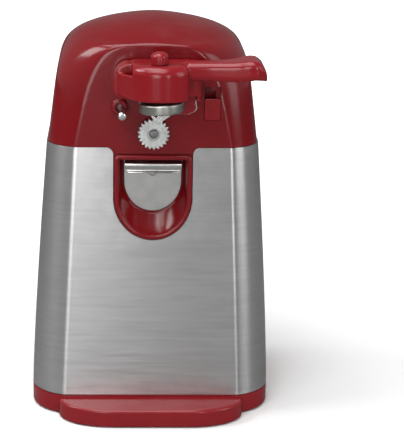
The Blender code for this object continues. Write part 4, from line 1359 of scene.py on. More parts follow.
@dataclass
class SteelWrap:
    """The brushed steel sheet that is bent round the front and the sides, with an opening for the bezel."""

    thickness: float = 1.0
    edge: float = 0.28

    def opening(self) -> Outline:
        """The opening, which widens through two round corners into the top edge.

        Returns:
            A closed loop of (x, z).
        """
        half, round_r, top = RIM.half + 0.5, CUT_CORNER, FORM.seam_z - GAP
        bowl = RIM.outline(0.5)[18:]
        left = [(-half - round_r + round_r * math.sin(math.pi / 2 * i / 10),
                 top - round_r + round_r * math.cos(math.pi / 2 * i / 10)) for i in range(11)]
        right = [(-x, z) for x, z in reversed(left)]
        return [(-half - round_r, top + 9.0)] + left + bowl + right + [(half + round_r, top + 9.0)]

    def build(self) -> None:
        """Builds and dresses the sheet."""
        rows = []
        count = 14
        for i in range(count + 1):
            z = FORM.base_z + (FORM.seam_z - GAP - FORM.base_z) * i / count
            rows.append([(x, y, z) for x, y in FORM.open_front(z, 0.0, FORM.parting_y - GAP, round_off=1.5)])
        wrap = make("steel_sheet", ribbon(rows))
        if wrap.data.polygons[0].normal.x > 0.0:
            wrap.data.flip_normals()
        solidify(wrap, self.thickness)
        carve(wrap, Solve.CUT, prism_y(self.opening(), -80.0, -10.0))
        soften(wrap, self.edge, 2, 50.0)
        hand_over(dress(wrap, WRAP_STEEL), "body", "brushed_steel", "steel_wrap")


# ------------------------------------------------------------------ housings

@dataclass
class FrontHousing:
    """The head with its flat arched face and its soft ridge, and the plastic under the steel."""

    fillet: float = 1.5
    columns: int = 96
    depths: int = 26
    latch_x: Flat = (26.2, 34.6)
    latch_z: Flat = (164.0, 175.2)

    def reach(self, angle: float, y: float) -> float:
        """How far from the middle of the seam the head's surface lies, in one direction and at one depth.

        Args:
            angle: the direction, from the right upwards.
            y: the depth.

        Returns:
            The distance.
        """
        low, high = 0.0, 90.0
        cosine, sine = math.cos(angle), math.sin(angle)
        for _ in range(34):
            middle = (low + high) / 2
            x, z = middle * abs(cosine), FORM.seam_z + middle * sine
            inside = z < FORM.top_z - 0.1 and x < FORM.half_at(y, z, FORM.head_inset)
            low, high = (middle, high) if inside else (low, middle)
        return low

    def arch(self, angle: float) -> float:
        """How far from the middle of the seam the face's arch lies in one direction.

        Args:
            angle: the direction, from the right upwards.

        Returns:
            The distance.
        """
        low, high = 0.0, 80.0
        cosine, sine = abs(math.cos(angle)), math.sin(angle)
        for _ in range(34):
            middle = (low + high) / 2
            z = FORM.seam_z + middle * sine
            inside = z < FORM.ridge_z and middle * cosine < FORM.crease(z)
            low, high = (middle, high) if inside else (low, middle)
        return low

    def strip(self, angle: float) -> list[Point]:
        """One line over the head, from inside the face across the ridge to the parting plane.

        Args:
            angle: its direction, from the right upwards.

        Returns:
            The points, front to back.
        """
        cosine, sine = math.cos(angle), math.sin(angle)

        def place(distance: float, depth: float) -> Point:
            """A point in this direction."""
            return (distance * cosine, depth, FORM.seam_z + distance * sine)

        def face(distance: float) -> float:
            """Depth of the face at a distance."""
            return FORM.front(FORM.seam_z + distance * sine) + FORM.head_inset

        ridge = self.arch(angle)
        start = face(ridge)
        end = FORM.parting_y - GAP / 2
        near, far = start + 0.02, start + self.fillet
        for _ in range(12):
            first = (near + far) / 2
            outer = self.reach(angle, first)
            short = math.hypot(outer - ridge, first - start) < self.fillet
            near, far = (first, far) if short else (near, first)
        line = [place(ridge - self.fillet * 3.0, face(ridge - self.fillet * 3.0))]
        corner = Vector(place(ridge, start))
        before, after = Vector(place(ridge - self.fillet, face(ridge - self.fillet))), Vector(place(outer, first))
        for i in range(7):
            t = i / 6
            point = before * (1 - t) ** 2 + corner * 2 * t * (1 - t) + after * t * t
            line.append(tuple(point))
        for i in range(1, self.depths + 1):
            y = first + (end - first) * (i / self.depths) ** 1.35
            line.append(place(self.reach(angle, y), y))
        return line

    def head(self) -> Piece:
        """The head's shell, open at the seam and at the parting plane before it gets its wall.

        Returns:
            The shell.
        """
        lines = [self.strip(math.pi * i / self.columns) for i in range(self.columns + 1)]
        bm = ribbon(lines)
        bm.verts.ensure_lookup_table()
        per = len(lines[0])
        rim = [bm.verts[i * per] for i in range(self.columns + 1)]
        bm.faces.new(rim)
        shell = make("head", bm)
        if max(shell.data.polygons, key=lambda p: p.area).normal.y > 0.0:
            shell.data.flip_normals()
        return solidify(shell, FORM.wall)

    def under_steel(self) -> Piece:
        """The plastic that the steel is bent round.

        Returns:
            The closed shell.
        """
        inset = 1.0 + GAP
        rows = []
        for i in range(13):
            z = FORM.base_z + (FORM.seam_z + 2.2 - FORM.base_z) * i / 12
            rows.append([(x, y, z) for x, y in FORM.open_front(min(z, FORM.seam_z), inset, FORM.parting_y - GAP / 2)])
        shell = make("under", ribbon(rows))
        if shell.data.polygons[0].normal.x > 0.0:
            shell.data.flip_normals()
        return solidify(shell, FORM.wall)

    def saddle(self) -> Solid:
        """What fills the steel's opening above the bezel, so that the head runs down to it without a step.

        Returns:
            A closed bmesh in millimetres.
        """
        centre, radius = (RIM.half + 0.5 + CUT_CORNER, FORM.seam_z - GAP - CUT_CORNER), CUT_CORNER + 0.35
        right = [(centre[0] - radius * math.sin(math.radians(a)), centre[1] + radius * math.cos(math.radians(a)))
                 for a in (80, 70, 60, 50, 40, 30, 20, 10, 3)] + [(centre[0], FORM.seam_z + 0.4)]
        outline = right + [(-x, z) for x, z in reversed(right)]
        return loft([on_front(outline, depth) for depth in (FORM.head_inset + 0.03, 3.2)])

    def build(self) -> None:
        """Builds and dresses the front housing."""
        housing = self.head()
        carve(housing, Solve.ADD, self.under_steel(), self.saddle())
        recess = loft([on_front(RIM.outline(-1.4), depth) for depth in (-9.0, 14.0)])
        middle = sum(self.latch_x) / 2
        floor = FORM.front(172.0) + FORM.head_inset + 1.7
        left, right = self.latch_x[0] - 0.18, self.latch_x[1] + 0.18
        pocket = prism_y(rounded_box(left, right, self.latch_z[0] - 0.18, self.latch_z[1] + 6.4, 0.6), -60.0, floor)
        shade = prism_y(rounded_box(left + 0.1, right - 0.1, self.latch_z[1] + 0.3, self.latch_z[1] + 6.3, 0.5), -60.0,
                        floor + 0.5)
        slot = prism_y(rounded_box(left + 0.3, left + 3.6, self.latch_z[0] + 3.0, self.latch_z[1] + 6.0, 0.5),
                       -60.0, -15.0)
        stem_way = prism_y(rounded_box(middle - 1.8, middle + 1.8, self.latch_z[0] + 3.0, self.latch_z[1] + 4.0, 0.5),
                           floor - 0.5, -15.0)
        carve(housing, Solve.CUT, recess, turned(DRIVE_AXIS, [(-60.0, 5.2), (-20.0, 5.2)]),
              turned(PIVOT, [(-60.0, 3.4), (-20.0, 3.4)], count=40),
              turned(GUIDE, [(-60.0, 1.6), (-20.0, 1.6)], count=24), pocket, shade, slot, stem_way)
        hand_over(dress(even_shading(housing), RED), "body", "red_plastic", "front_housing")
        self.build_latch(floor)

    def build_latch(self, floor: float) -> None:
        """The sliding latch in its pocket, with a stem behind it.

        Args:
            floor: Y of the pocket's floor.
        """
        face = FORM.front(172.0) + FORM.head_inset - 0.9
        outline = rounded_box(self.latch_x[0], self.latch_x[1], self.latch_z[0], self.latch_z[1], 1.1)
        latch = make("lever_latch", prism_y(outline, face, floor - GAP))
        middle = sum(self.latch_x) / 2
        carve(latch, Solve.ADD, block((middle - 1.5, floor - 1.0, self.latch_z[0] + 4.0),
                                      (middle + 1.5, floor + 5.0, self.latch_z[0] + 9.0)))
        soften(latch, 0.45, 3, 40.0)
        hand_over(dress(latch, RED_LEVER_PAINTED_LIGHTER), "latch", "red_plastic", "release_latch")


@dataclass
class RearHousing:
    """The back of the opener, with its cooling slots, its knife guide and its cord inlet."""

    slots: int = 7
    slot_z: float = 30.0
    slot_pitch: float = 6.0
    slot_size: Flat = (40.0, 2.4)
    guide_sides: tuple[float, float, float, float] = (-16.6, 16.6, 90.4, 127.6)

    def heights(self) -> list[float]:
        """Heights of the rings, close together where the dome turns in.

        Returns:
            The heights, upwards.
        """
        low = [FORM.base_z + (FORM.seam_z - FORM.base_z) * i / 12 for i in range(12)]
        dome = [FORM.seam_z + (FORM.top_z - 0.1 - FORM.seam_z) * math.sin(math.pi / 2 * i / 44) for i in range(45)]
        return low + dome

    def slot_cutters(self) -> Piece:
        """A column of slots, set out by a Geometry Nodes tree.

        Returns:
            The cutters, as one piece.
        """
        tree, wire, into, out = group(
            "slot_column", "GeometryNodeTree",
            [("Count", "NodeSocketInt", 7), ("First", VECTOR, None), ("Pitch", VECTOR, None), ("Size", VECTOR, None),
             ("Finish", "NodeSocketMaterial", None)], [("Geometry", "NodeSocketGeometry")])
        line = wire.add("GeometryNodeMeshLine", Count=into["Count"], Start_Location=into["First"], Offset=into["Pitch"])
        cube = wire.add("GeometryNodeMeshCube", Size=into["Size"])
        copies = wire.add("GeometryNodeInstanceOnPoints", Points=line.outputs[0], Instance=cube.outputs[0])
        close_tree(wire, copies.outputs[0], into, out)
        width, height = self.slot_size
        return bake_tree("slot_tool", tree, {
            "Count": self.slots, "First": (0.0, 60.0 * MM, (self.slot_z + height / 2) * MM),
            "Pitch": (0.0, 0.0, self.slot_pitch * MM), "Size": (width * MM, 60.0 * MM, height * MM),
            "Finish": RED.material()})

    def build(self) -> None:
        """Builds and dresses the rear housing and what is in it."""
        start = FORM.parting_y + GAP / 2
        rows = []
        for z in self.heights():
            inset = blend(0.2, FORM.head_inset, (z - 120.0) / (FORM.seam_z - 120.0))
            rows.append([(x, y, z) for x, y in FORM.open_rear(z, inset, start)])
        bm = ribbon(rows)
        bm.verts.ensure_lookup_table()
        per = len(rows[0])
        bm.faces.new([bm.verts[(len(rows) - 1) * per + i] for i in range(per)])
        housing = make("rear_shell", bm)
        if max(housing.data.polygons, key=lambda p: p.area).normal.y < 0.0:
            housing.data.flip_normals()
        solidify(housing, FORM.wall)
        window = prism_y(rounded_box(-17.0, 17.0, 90.0, 128.0, 3.0), 40.0, 90.0)
        carve(housing, Solve.CUT, self.slot_cutters(), window, turned(CORD_AXIS, [(40.0, 4.6), (90.0, 4.6)], count=40))
        hand_over(dress(even_shading(housing), RED), "body", "red_plastic", "rear_housing")
        self.build_guide()
        self.build_inlet()

    def build_guide(self) -> None:
        """The black insert with two slots that lead a knife to the stone."""
        guide = make("knife_guide", prism_y(rounded_box(*self.guide_sides, 2.8), 55.4, 62.0))
        for side in (-1, 1):
            lean = side * 3.0
            for depth, half in ((80.0, 1.2), (61.4, 1.2)):
                slot = [(side * 8.0 - half - lean, 98.0), (side * 8.0 + half - lean, 98.0),
                        (side * 8.0 + half + lean, 132.0), (side * 8.0 - half + lean, 132.0)]
                carve(guide, Solve.CUT, prism_y(slot, 40.0, depth))
        soften(guide, 0.4, 3, 40.0)
        hand_over(dress(guide, BLACK), "body", "black_plastic", "sharpener_guide")

    def build_inlet(self) -> None:
        """The bush where a cord would enter, with a rounded lip."""
        wall = 62.3
        section = [(57.0, 3.4), (57.0, 6.0), (58.6, 6.0), (58.61, 4.2), (wall + 0.4, 4.2), (wall + 0.7, 4.1),
                   (wall + 0.8, 3.9), (wall + 0.8, 3.7), (wall + 0.6, 3.45), (wall + 0.2, 3.4)]
        inlet = even_shading(make("inlet_bush", turned_ring(CORD_AXIS, section)))
        hand_over(dress(inlet, BLACK), "body", "black_plastic", "cord_grommet")


# ------------------------------------------------------------------ bottle opener

@dataclass
class BottleOpener:
    """The red bezel with its scooped recess, the satin plate, the hooked lip and its screw."""

    proud: float = 1.4
    depth: float = 8.8
    lip_half: float = 14.8

    def bezel_rings(self) -> list[list[Point]]:
        """The rings of the bezel, from its back over the bead and down the scoop.

        Returns:
            The rings, in order.
        """
        rings = [on_front(MOUTH.outline(1.3), self.depth + 1.5), on_front(RIM.outline(-1.9), 4.1),
                 on_front(RIM.outline(-1.9), 0.2), on_front(RIM.outline(-0.12), 0.2), on_front(RIM.outline(), 0.08)]
        crest = 1.25
        for i in range(9):
            angle = math.pi * i / 8
            inset = crest * (1.0 - math.cos(angle))
            lift = -0.55 - (self.proud - 0.55) * math.sin(angle) ** 0.8
            if i > 4:
                lift = -self.proud + (self.proud - 0.35) * (1.0 - math.sin(angle) ** 0.9)
            rings.append(on_front(RIM.outline(-inset), lift))
        rim = RIM.outline(-2.5)
        mouth = MOUTH.outline()
        for i in range(1, 11):
            share = i / 10
            across = share ** 1.12
            sink = -0.35 + (self.depth + 0.35) * share
            outline = [(a[0] + (b[0] - a[0]) * across, a[1] + (b[1] - a[1]) * across) for a, b in zip(rim, mouth)]
            rings.append(on_front(outline, sink))
        return rings

    def build(self) -> None:
        """Builds and dresses the bottle opener."""
        bezel = even_shading(make("opener_bezel", loft(self.bezel_rings())), 50.0)
        hand_over(dress(bezel, RED), "body", "red_plastic", "bottle_opener_bezel")
        outline = Bowl(MOUTH.half - 0.9, MOUTH.top - 0.9, MOUTH.bottom + 0.9, MOUTH.bend, 1.0).outline()
        plate = make("satin_plate", loft([on_front(outline, self.depth - depth) for depth in (GAP, 1.5)]))
        soften(plate, 0.25, 2, 40.0)
        hand_over(dress(plate, PLATE_STEEL), "body", "brushed_steel", "opener_plate")
        self.build_lip()
        self.build_screw()
        self.build_edge()

    def build_edge(self) -> None:
        """The bright rolled edge of the steel, which follows the bezel's sides and bowl and stops below its top
        corners.
        """
        inner, middle, outer = (RIM.outline(grow) for grow in (0.12, 0.42, 0.72))
        start = max(range(len(middle)), key=lambda i: middle[i][1])
        order = [(start + i) % len(middle) for i in range(len(middle))]
        rows = [i for i in order if middle[i][1] < 142.6]
        rings = [[*on_front([inner[i]], -0.02), *on_front([inner[i]], -0.22), *on_front([middle[i]], -0.42),
                  *on_front([outer[i]], -0.2), *on_front([outer[i]], -0.02)] for i in rows]
        edge = even_shading(make("rolled_edge", loft(rings)), 60.0)
        hand_over(dress(edge, BRIGHT), "body", "brushed_steel")

    def build_lip(self) -> None:
        """The hooked bar that lifts a bottle's cap, with clipped corners and a small tab in its middle."""
        face = FORM.front(139.0)
        reach = self.depth - 1.9
        hook = [(reach, 141.5), (0.6, 141.5), (-0.3, 141.3), (-0.9, 140.9), (-1.3, 140.3), (-1.35, 139.7),
                (-1.1, 138.9), (-0.75, 138.1), (-0.7, 137.6), (-0.95, 137.15), (-1.5, 136.75), (-1.8, 136.35),
                (-1.6, 135.95), (-1.1, 135.85), (-0.3, 136.3), (0.2, 137.0), (0.3, 137.8), (0.1, 138.8), (0.0, 139.4),
                (0.2, 139.9), (0.7, 140.1), (reach, 140.1)]
        lip = make("cap_lifter", prism_x([(face + depth, z) for depth, z in hook], -self.lip_half, self.lip_half))
        for side in (-1, 1):
            outer = side * (self.lip_half + 1.0)
            clip = [(outer, 134.0), (side * (self.lip_half - 2.3), 134.0), (side * (self.lip_half - 2.3), 135.9),
                    (side * (self.lip_half - 0.2), 138.2), (outer, 138.4)]
            carve(lip, Solve.CUT, prism_y(clip if side > 0 else clip[::-1], face - 4.0, face + 2.0))
        tab = [(1.7 * math.cos(a), 136.6 + 1.9 * math.sin(a)) for a in [math.pi * (1 + i / 14) for i in range(15)]]
        carve(lip, Solve.ADD, prism_y(tab, face - 0.7, face + 0.35))
        soften(lip, 0.18, 2, 35.0)
        hand_over(dress(lip, BRIGHT), "body", "bright_steel", "opener_lip")

    def build_screw(self) -> None:
        """The round-headed screw that holds the plate."""
        floor = FORM.front(134.6) + self.depth - 1.5
        profile = [(floor - 1.9, 0.5), (floor - 1.85, 1.1), (floor - 1.65, 1.6), (floor - 1.3, 2.0), (floor - 0.8, 2.2),
                   (floor - GAP, 2.2)]
        screw = make("plate_screw", turned((0.0, 134.6), profile, count=40))
        carve(screw, Solve.CUT, block((-1.2, floor - 4.0, 134.35), (1.2, floor - 1.2, 134.85)),
              block((-0.25, floor - 4.0, 133.4), (0.25, floor - 1.2, 135.8)))
        hand_over(dress(even_shading(screw), BRIGHT), "body", "bright_steel", "opener_screw")


# ------------------------------------------------------------------ cutting side

@dataclass
class CanGuide:
    """The pin that a can's rim runs against, and the moulded boss round it."""

    def build(self) -> None:
        """Builds and dresses the boss and the pin."""
        face = FORM.front(GUIDE[1]) + FORM.head_inset
        section = [(face - GAP, 1.6), (face - GAP, 4.7), (face - 1.6, 4.6), (face - 2.5, 4.3), (face - 3.0, 3.8),
                   (face - 3.2, 3.2), (face - 3.2, 2.5), (face - 2.9, 2.1), (face - 2.4, 1.8)]
        boss = make("guide_collar", turned_ring(GUIDE_BOSS, section))
        carve(boss, Solve.CUT, turned(GUIDE, [(-80.0, 2.5), (0.0, 2.5)], count=48))
        hand_over(dress(even_shading(boss), RED), "body", "red_plastic", "guide_boss")
        profile = [(face + 3.4, 1.3), (face - 0.6, 1.3), (face - 0.61, 2.2), (face - 12.0, 2.2), (face - 12.35, 2.12),
                   (face - 12.6, 1.9), (face - 12.75, 1.5), (face - 12.8, 0.9)]
        pin = even_shading(make("rim_pin", turned(GUIDE, profile, count=40)))
        hand_over(dress(pin, BRIGHT), "body", "bright_steel", "guide_pin")


@dataclass
class DriveWheel:
    """The toothed wheel that turns the can, and the end of the shaft that carries it."""

    radius: float = 8.3
    teeth: int = 22
    bore: float = 2.48

    def build(self) -> None:
        """Builds and dresses the wheel and its shaft."""
        wheel = ToothedDisc.disc(
            "can_wheel", WHEEL_STEEL, Teeth=self.teeth, Samples=14, Root=(self.radius - 1.3) * MM,
            Tip=self.radius * MM, Rise_start=0.0, Rise_end=0.55, Fall_start=0.72, Fall_end=1.0, Bore=self.bore * MM,
            Hub=(self.bore + 2.0) * MM, Step=0.0, Thickness=(WHEEL_BACK - WHEEL_FRONT) * MM, Chamfer=0.22 * MM,
            Centre=(DRIVE_AXIS[0] * MM, WHEEL_FRONT * MM, DRIVE_AXIS[1] * MM))
        groove = turned_ring(DRIVE_AXIS, [(WHEEL_FRONT - 0.5, 2.2), (WHEEL_FRONT - 0.5, 3.5), (WHEEL_FRONT + 0.9, 3.2),
                                          (WHEEL_FRONT + 0.9, 2.2)])
        carve(wheel, Solve.CUT, groove)
        even_shading(wheel, 30.0)
        hand_over(dress(wheel, WHEEL_STEEL), "drive", "bright_steel", "drive_wheel")
        front = WHEEL_FRONT
        profile = [(front - 1.2, 0.9), (front - 1.18, 1.5), (front - 1.0, 1.9), (front - 0.7, 2.25), (front - 0.4, 2.4),
                   (WHEEL_BACK + GAP, 2.4), (WHEEL_BACK + GAP + 0.01, 3.0), (0.8, 3.0)]
        shaft = make("wheel_shaft", turned(DRIVE_AXIS, profile))
        carve(shaft, Solve.CUT, prism_y(circle(DRIVE_AXIS, 1.25, 6), front - 3.0, front - 0.5))
        soften(shaft, 0.06, 1, 40.0)
        hand_over(dress(shaft, SHAFT_STEEL), "drive", "bright_steel", "drive_shaft")


@dataclass
class Lever:
    """The hinged lever: its hub, its finger pad, and the blade and magnet that hang on it."""

    hub_axis: Flat = (3.3, -51.9)
    hub_z: Flat = (179.4, 197.0)
    tilt: float = math.radians(3.4)
    knob_top: float = 203.4
    magnet_radius: float = 11.5
    magnet_z: Flat = (173.0, 178.2)
    sections: list[tuple[float, float, float, float, float]] = field(default_factory=lambda: [
        (16.0, -53.0, -41.0, 188.6, 197.6), (27.0, -53.4, -41.0, 188.4, 197.8), (34.0, -54.4, -40.6, 188.0, 198.0),
        (41.0, -55.6, -38.6, 188.2, 198.4), (46.0, -56.8, -36.2, 188.8, 199.2), (50.5, -57.0, -35.4, 189.4, 199.2),
        (53.6, -56.2, -35.8, 189.2, 197.4), (55.4, -54.6, -37.0, 188.8, 194.4), (56.2, -53.0, -39.0, 188.4, 191.6)])

    def hub_outline(self, inset: float = 0.0) -> Outline:
        """Plan of the hub: a straight left facet, a broad round front, and a wing set back on the right.

        Args:
            inset: how far inwards.

        Returns:
            A closed loop of (x, y).
        """
        back = LEVER_BACK - inset
        loop: Outline = [(-19.6 + inset, back), (-19.6 + inset, -44.4), (-18.6 + inset, -46.8),
                         (-10.7 + inset * 0.6, -57.6 + inset)]
        centre, radius = (3.0, -43.0), 20.0 - inset
        start = math.atan2(loop[-1][1] - centre[1], loop[-1][0] - centre[0]) % math.tau
        end = math.radians(307.6)
        for i in range(1, 41):
            angle = start + (end - start) * i / 40
            loop.append((centre[0] + radius * math.cos(angle), centre[1] + radius * math.sin(angle)))
        loop += [(x - inset, y + inset * 0.5) for x, y in
                 ((16.3, -57.6), (16.8, -55.6), (16.8, -50.0), (17.4, -48.0), (19.0, -47.0), (22.6, -46.2))]
        loop += [(23.8 - inset, -44.6 + inset * 0.5), (23.8 - inset, back)]
        return loop

    def arm_rings(self) -> list[list[Point]]:
        """The arm's sections, eased through the ones that are given.

        Returns:
            The rings, root to tip.
        """
        given = self.sections
        rings = []
        for k in range(len(given) - 1):
            p0, p1, p2, p3 = (given[max(k - 1, 0)], given[k], given[k + 1], given[min(k + 2, len(given) - 1)])
            for i in range(6):
                t = i / 6
                row = [0.5 * (2 * b + (c - a) * t + (2 * a - 5 * b + 4 * c - d) * t * t
                              + (3 * b - a - 3 * c + d) * t ** 3) for a, b, c, d in zip(p0, p1, p2, p3)]
                rings.append(row)
        rings.append(list(given[-1]))
        made = []
        for x, front, back, low, high in rings:
            radius = min(3.0, (high - low) * 0.45)
            made.append([(x, y, z) for y, z in rounded_box(front, back, low, high, radius, 6)])
        return made

    def build(self) -> None:
        """Builds and dresses the lever and what moves with it."""
        low, high = self.hub_z
        radius = 4.4
        rings = [[(x, y, low) for x, y in self.hub_outline()]]
        for angle in (0, 15, 30, 45, 60, 75, 90):
            inset = radius * (1.0 - math.cos(math.radians(angle)))
            z = high - radius * (1.0 - math.sin(math.radians(angle)))
            rings.append([(x, y, z) for x, y in self.hub_outline(inset)])
        lever = make("lever_moulding", loft(rings))
        carve(lever, Solve.CUT, block((-30.0, -60.0, 191.5), (-11.4, -20.0, 210.0)))
        carve(lever, Solve.ADD, loft(self.arm_rings()),
              block((17.0, LEVER_BACK - 7.5, 175.6), (23.6, LEVER_BACK, low + 3.0)))
        hollow = prism_z(self.hub_outline(2.2), low - 9.0, high - 4.6)
        arm_hollow = loft([[(x, y, z) for y, z in rounded_box(front + 2.2, back - 2.2, bottom - 6.0, top - 2.4, 0.6, 2)]
                           for x, front, back, bottom, top in self.sections[1:6]])
        corner = [(-22.0, 177.0), (-22.0, 184.6)]
        corner += [(-14.9 - 4.9 * math.cos(a), 184.6 - 4.9 * math.sin(a)) for a in
                   [math.pi / 2 * i / 8 for i in range(9)]] + [(-14.9, 177.0)]
        carve(lever, Solve.CUT, hollow, arm_hollow, prism_y(corner, -62.0, -36.0))
        carve(lever, Solve.ADD, self.barrel(), self.apron())
        melt(lever, 0.42, 4)
        centre = (self.hub_axis[0], self.hub_axis[1], low)
        knob_hole = tilted(turned(self.hub_axis, [(low - 5.0, 1.68), (high + 9.0, 1.68)], Turn.Z, 32), centre,
                           self.tilt)
        carve(lever, Solve.CUT, knob_hole, turned(PIVOT, [(LEVER_BACK - 7.0, 2.08), (-20.0, 2.08)], count=32),
              turned((15.0, 173.0), [(LEVER_BACK - 2.0, 2.75), (-20.0, 2.75)], count=32),
              block((-1.1, LEVER_BACK - 5.0, 172.9), (9.5, LEVER_BACK + 5.0, 177.6)))
        lever.data.shade_smooth()
        hand_over(dress(lever, RED_LEVER_PAINTED_LIGHTER), "lever", "red_plastic", "lever_body")
        self.build_cutter()
        self.build_magnet(centre)

    @staticmethod
    def barrel() -> Solid:
        """The wing on the left: a barrel round the hinge with a panel that hangs from it.

        Returns:
            A closed bmesh in millimetres.
        """
        radius, bottom = 7.9, 178.0
        outline = [(PIVOT[0] + radius * math.cos(a), PIVOT[1] + radius * math.sin(a))
                   for a in [math.pi * i / 30 for i in range(31)]]
        outline += [(PIVOT[0] - radius + 4.5 * (1.0 - math.cos(a)), bottom + 4.5 * (1.0 - math.sin(a)))
                    for a in [math.pi / 2 * i / 8 for i in range(9)]]
        outline += [(-6.0, bottom), (-5.1, bottom + 1.0)]
        return prism_y(outline, LEVER_BACK - 12.4, LEVER_BACK)

    @staticmethod
    def apron() -> Solid:
        """The panel in front of the carrier plate, which leaves only the plate's edge bare."""
        outline = [(-4.0, 168.0), (17.9, 168.0), (20.0, 168.9), (21.4, 170.1), (21.8, 171.4), (21.3, 173.6),
                   (21.3, 181.0), (-4.0, 181.0)]
        return prism_y(outline, LEVER_BACK - 2.3, LEVER_BACK)

    def build_cutter(self) -> None:
        """The carrier plate, the blade with its ground edge, and the screw."""
        y_low = LEVER_BACK + GAP
        outline = [(-4.6, 167.4), (18.2, 167.4), (20.4, 168.4), (22.0, 169.6), (22.5, 171.2), (21.9, 173.6),
                   (21.9, 184.0), (-17.0, 184.0), (-17.0, 180.4), (-12.6, 176.6), (-4.6, 176.0)]
        plate = make("carrier_plate", prism_y(outline, y_low, y_low + 1.2))
        carve(plate, Solve.CUT, turned(PIVOT, [(-80.0, 5.3), (0.0, 5.3)]))
        soften(plate, 0.22, 2, 35.0)
        hand_over(dress(plate, BRIGHT), "lever", "bright_steel", "cutter_plate")
        front, back = WHEEL_FRONT - 2.2, WHEEL_FRONT - 0.5
        shape = [(1.7, 163.0), (9.6, 168.8), (10.4, 169.8), (10.6, 170.9), (10.6, 177.6), (-3.0, 177.6), (-3.0, 169.6)]
        blade = make("cutting_edge", prism_y(shape, front, back))
        notch = prism_y([(1.0, 166.4), (4.6, 169.3), (4.6, 171.4), (-1.0, 171.4), (-1.0, 169.1)], -80.0, 0.0)
        tab = block((-1.0, back - 0.6, 173.0), (9.4, y_low - GAP, 177.5))
        carve(blade, Solve.ADD, tab)
        carve(blade, Solve.CUT, notch)
        soften(blade, 0.14, 2, 30.0)
        hand_over(dress(blade, BLADE_STEEL), "lever", "bright_steel", "cutting_blade")
        base = y_low - GAP
        profile = [(base - 1.8, 0.8), (base - 1.7, 1.5), (base - 1.45, 1.9), (base - 0.9, 2.3), (base - 0.3, 2.6),
                   (base, 2.6)]
        screw = make("carrier_screw", turned((15.0, 173.0), profile, count=40))
        carve(screw, Solve.CUT, block((13.6, base - 4.0, 172.75), (16.4, base - 1.1, 173.25)),
              block((14.75, base - 4.0, 171.6), (15.25, base - 1.1, 174.4)))
        hand_over(dress(even_shading(screw), BRIGHT), "lever", "bright_steel", "blade_screw")

    def build_magnet(self, centre: Point) -> None:
        """The magnet's cup and disc, and the knob that holds them from above.

        Args:
            centre: what the magnet leans about.
        """
        low, high = self.magnet_z
        radius = self.magnet_radius
        profile = [(low, radius - 0.7), (low + 0.1, radius - 0.35), (low + 0.35, radius - 0.08), (low + 0.7, radius),
                   (high - 1.0, radius), (high - 0.6, radius - 0.12), (high - 0.25, radius - 0.4), (high, radius - 1.0)]
        cup = make("magnet_holder_cup", tilted(turned(self.hub_axis, profile, Turn.Z, 112), centre, self.tilt))
        carve(cup, Solve.CUT,
              tilted(turned(self.hub_axis, [(low - 4.0, 9.2), (high - 1.4, 9.2)], Turn.Z, 96), centre, self.tilt),
              tilted(turned(self.hub_axis, [(low - 4.0, 1.68), (high + 4.0, 1.68)], Turn.Z, 32), centre, self.tilt))
        hand_over(dress(even_shading(cup), MAGNET_STEEL), "magnet", "bright_steel", "magnet_cup")
        top = high - 1.4 - GAP
        disc = make("magnet_core", tilted(turned(self.hub_axis, [(low + 0.2, 8.6), (low + 0.35, 8.9), (top, 8.9)],
                                                 Turn.Z, 96), centre, self.tilt))
        carve(disc, Solve.CUT,
              tilted(turned(self.hub_axis, [(low - 4.0, 3.0), (high, 3.0)], Turn.Z, 40), centre, self.tilt))
        hand_over(dress(even_shading(disc), FERRITE), "magnet", "ferrite", "magnet_disc")
        foot = self.hub_z[1] + 0.35
        crown = self.knob_top
        profile = [(low + 1.0, 2.7), (low + 1.9, 2.7), (low + 1.91, 1.6), (foot, 1.6), (foot + 0.01, 4.4),
                   (foot + 0.25, 4.5), (crown - 2.6, 4.5), (crown - 1.9, 4.35), (crown - 1.2, 3.95),
                   (crown - 0.65, 3.3), (crown - 0.25, 2.4), (crown - 0.06, 1.3), (crown, 0.3)]
        knob = make("lever_knob", tilted(turned(self.hub_axis, profile, Turn.Z), centre, self.tilt))
        hand_over(dress(even_shading(knob), RED_LEVER_PAINTED_LIGHTER), "magnet_holder", "red_plastic", "magnet_knob")


# ------------------------------------------------------------------ gear train

@dataclass(frozen=True)
class GearSize:
    """One toothed ring: its module, its teeth, its phase and its span along Y."""

    module: float
    teeth: int
    phase: float
    span: Flat

    def disc(self, name: str, axis: Flat, bore: float, finish: Finish) -> Piece:
        """Builds the ring on an axis, with a bore."""
        pitch = self.module * self.teeth / 2.0
        return ToothedDisc.disc(
            name, finish, Teeth=self.teeth, Samples=16, Root=(pitch - 1.15 * self.module) * MM,
            Tip=(pitch + 0.85 * self.module) * MM, Rise_start=0.2, Rise_end=0.385, Fall_start=0.615, Fall_end=0.8,
            Bore=bore * MM, Hub=(bore + 1.0) * MM, Step=0.0, Thickness=(self.span[1] - self.span[0]) * MM,
            Chamfer=0.15 * MM, Phase=self.phase - math.pi / self.teeth,
            Centre=(axis[0] * MM, self.span[0] * MM, axis[1] * MM))


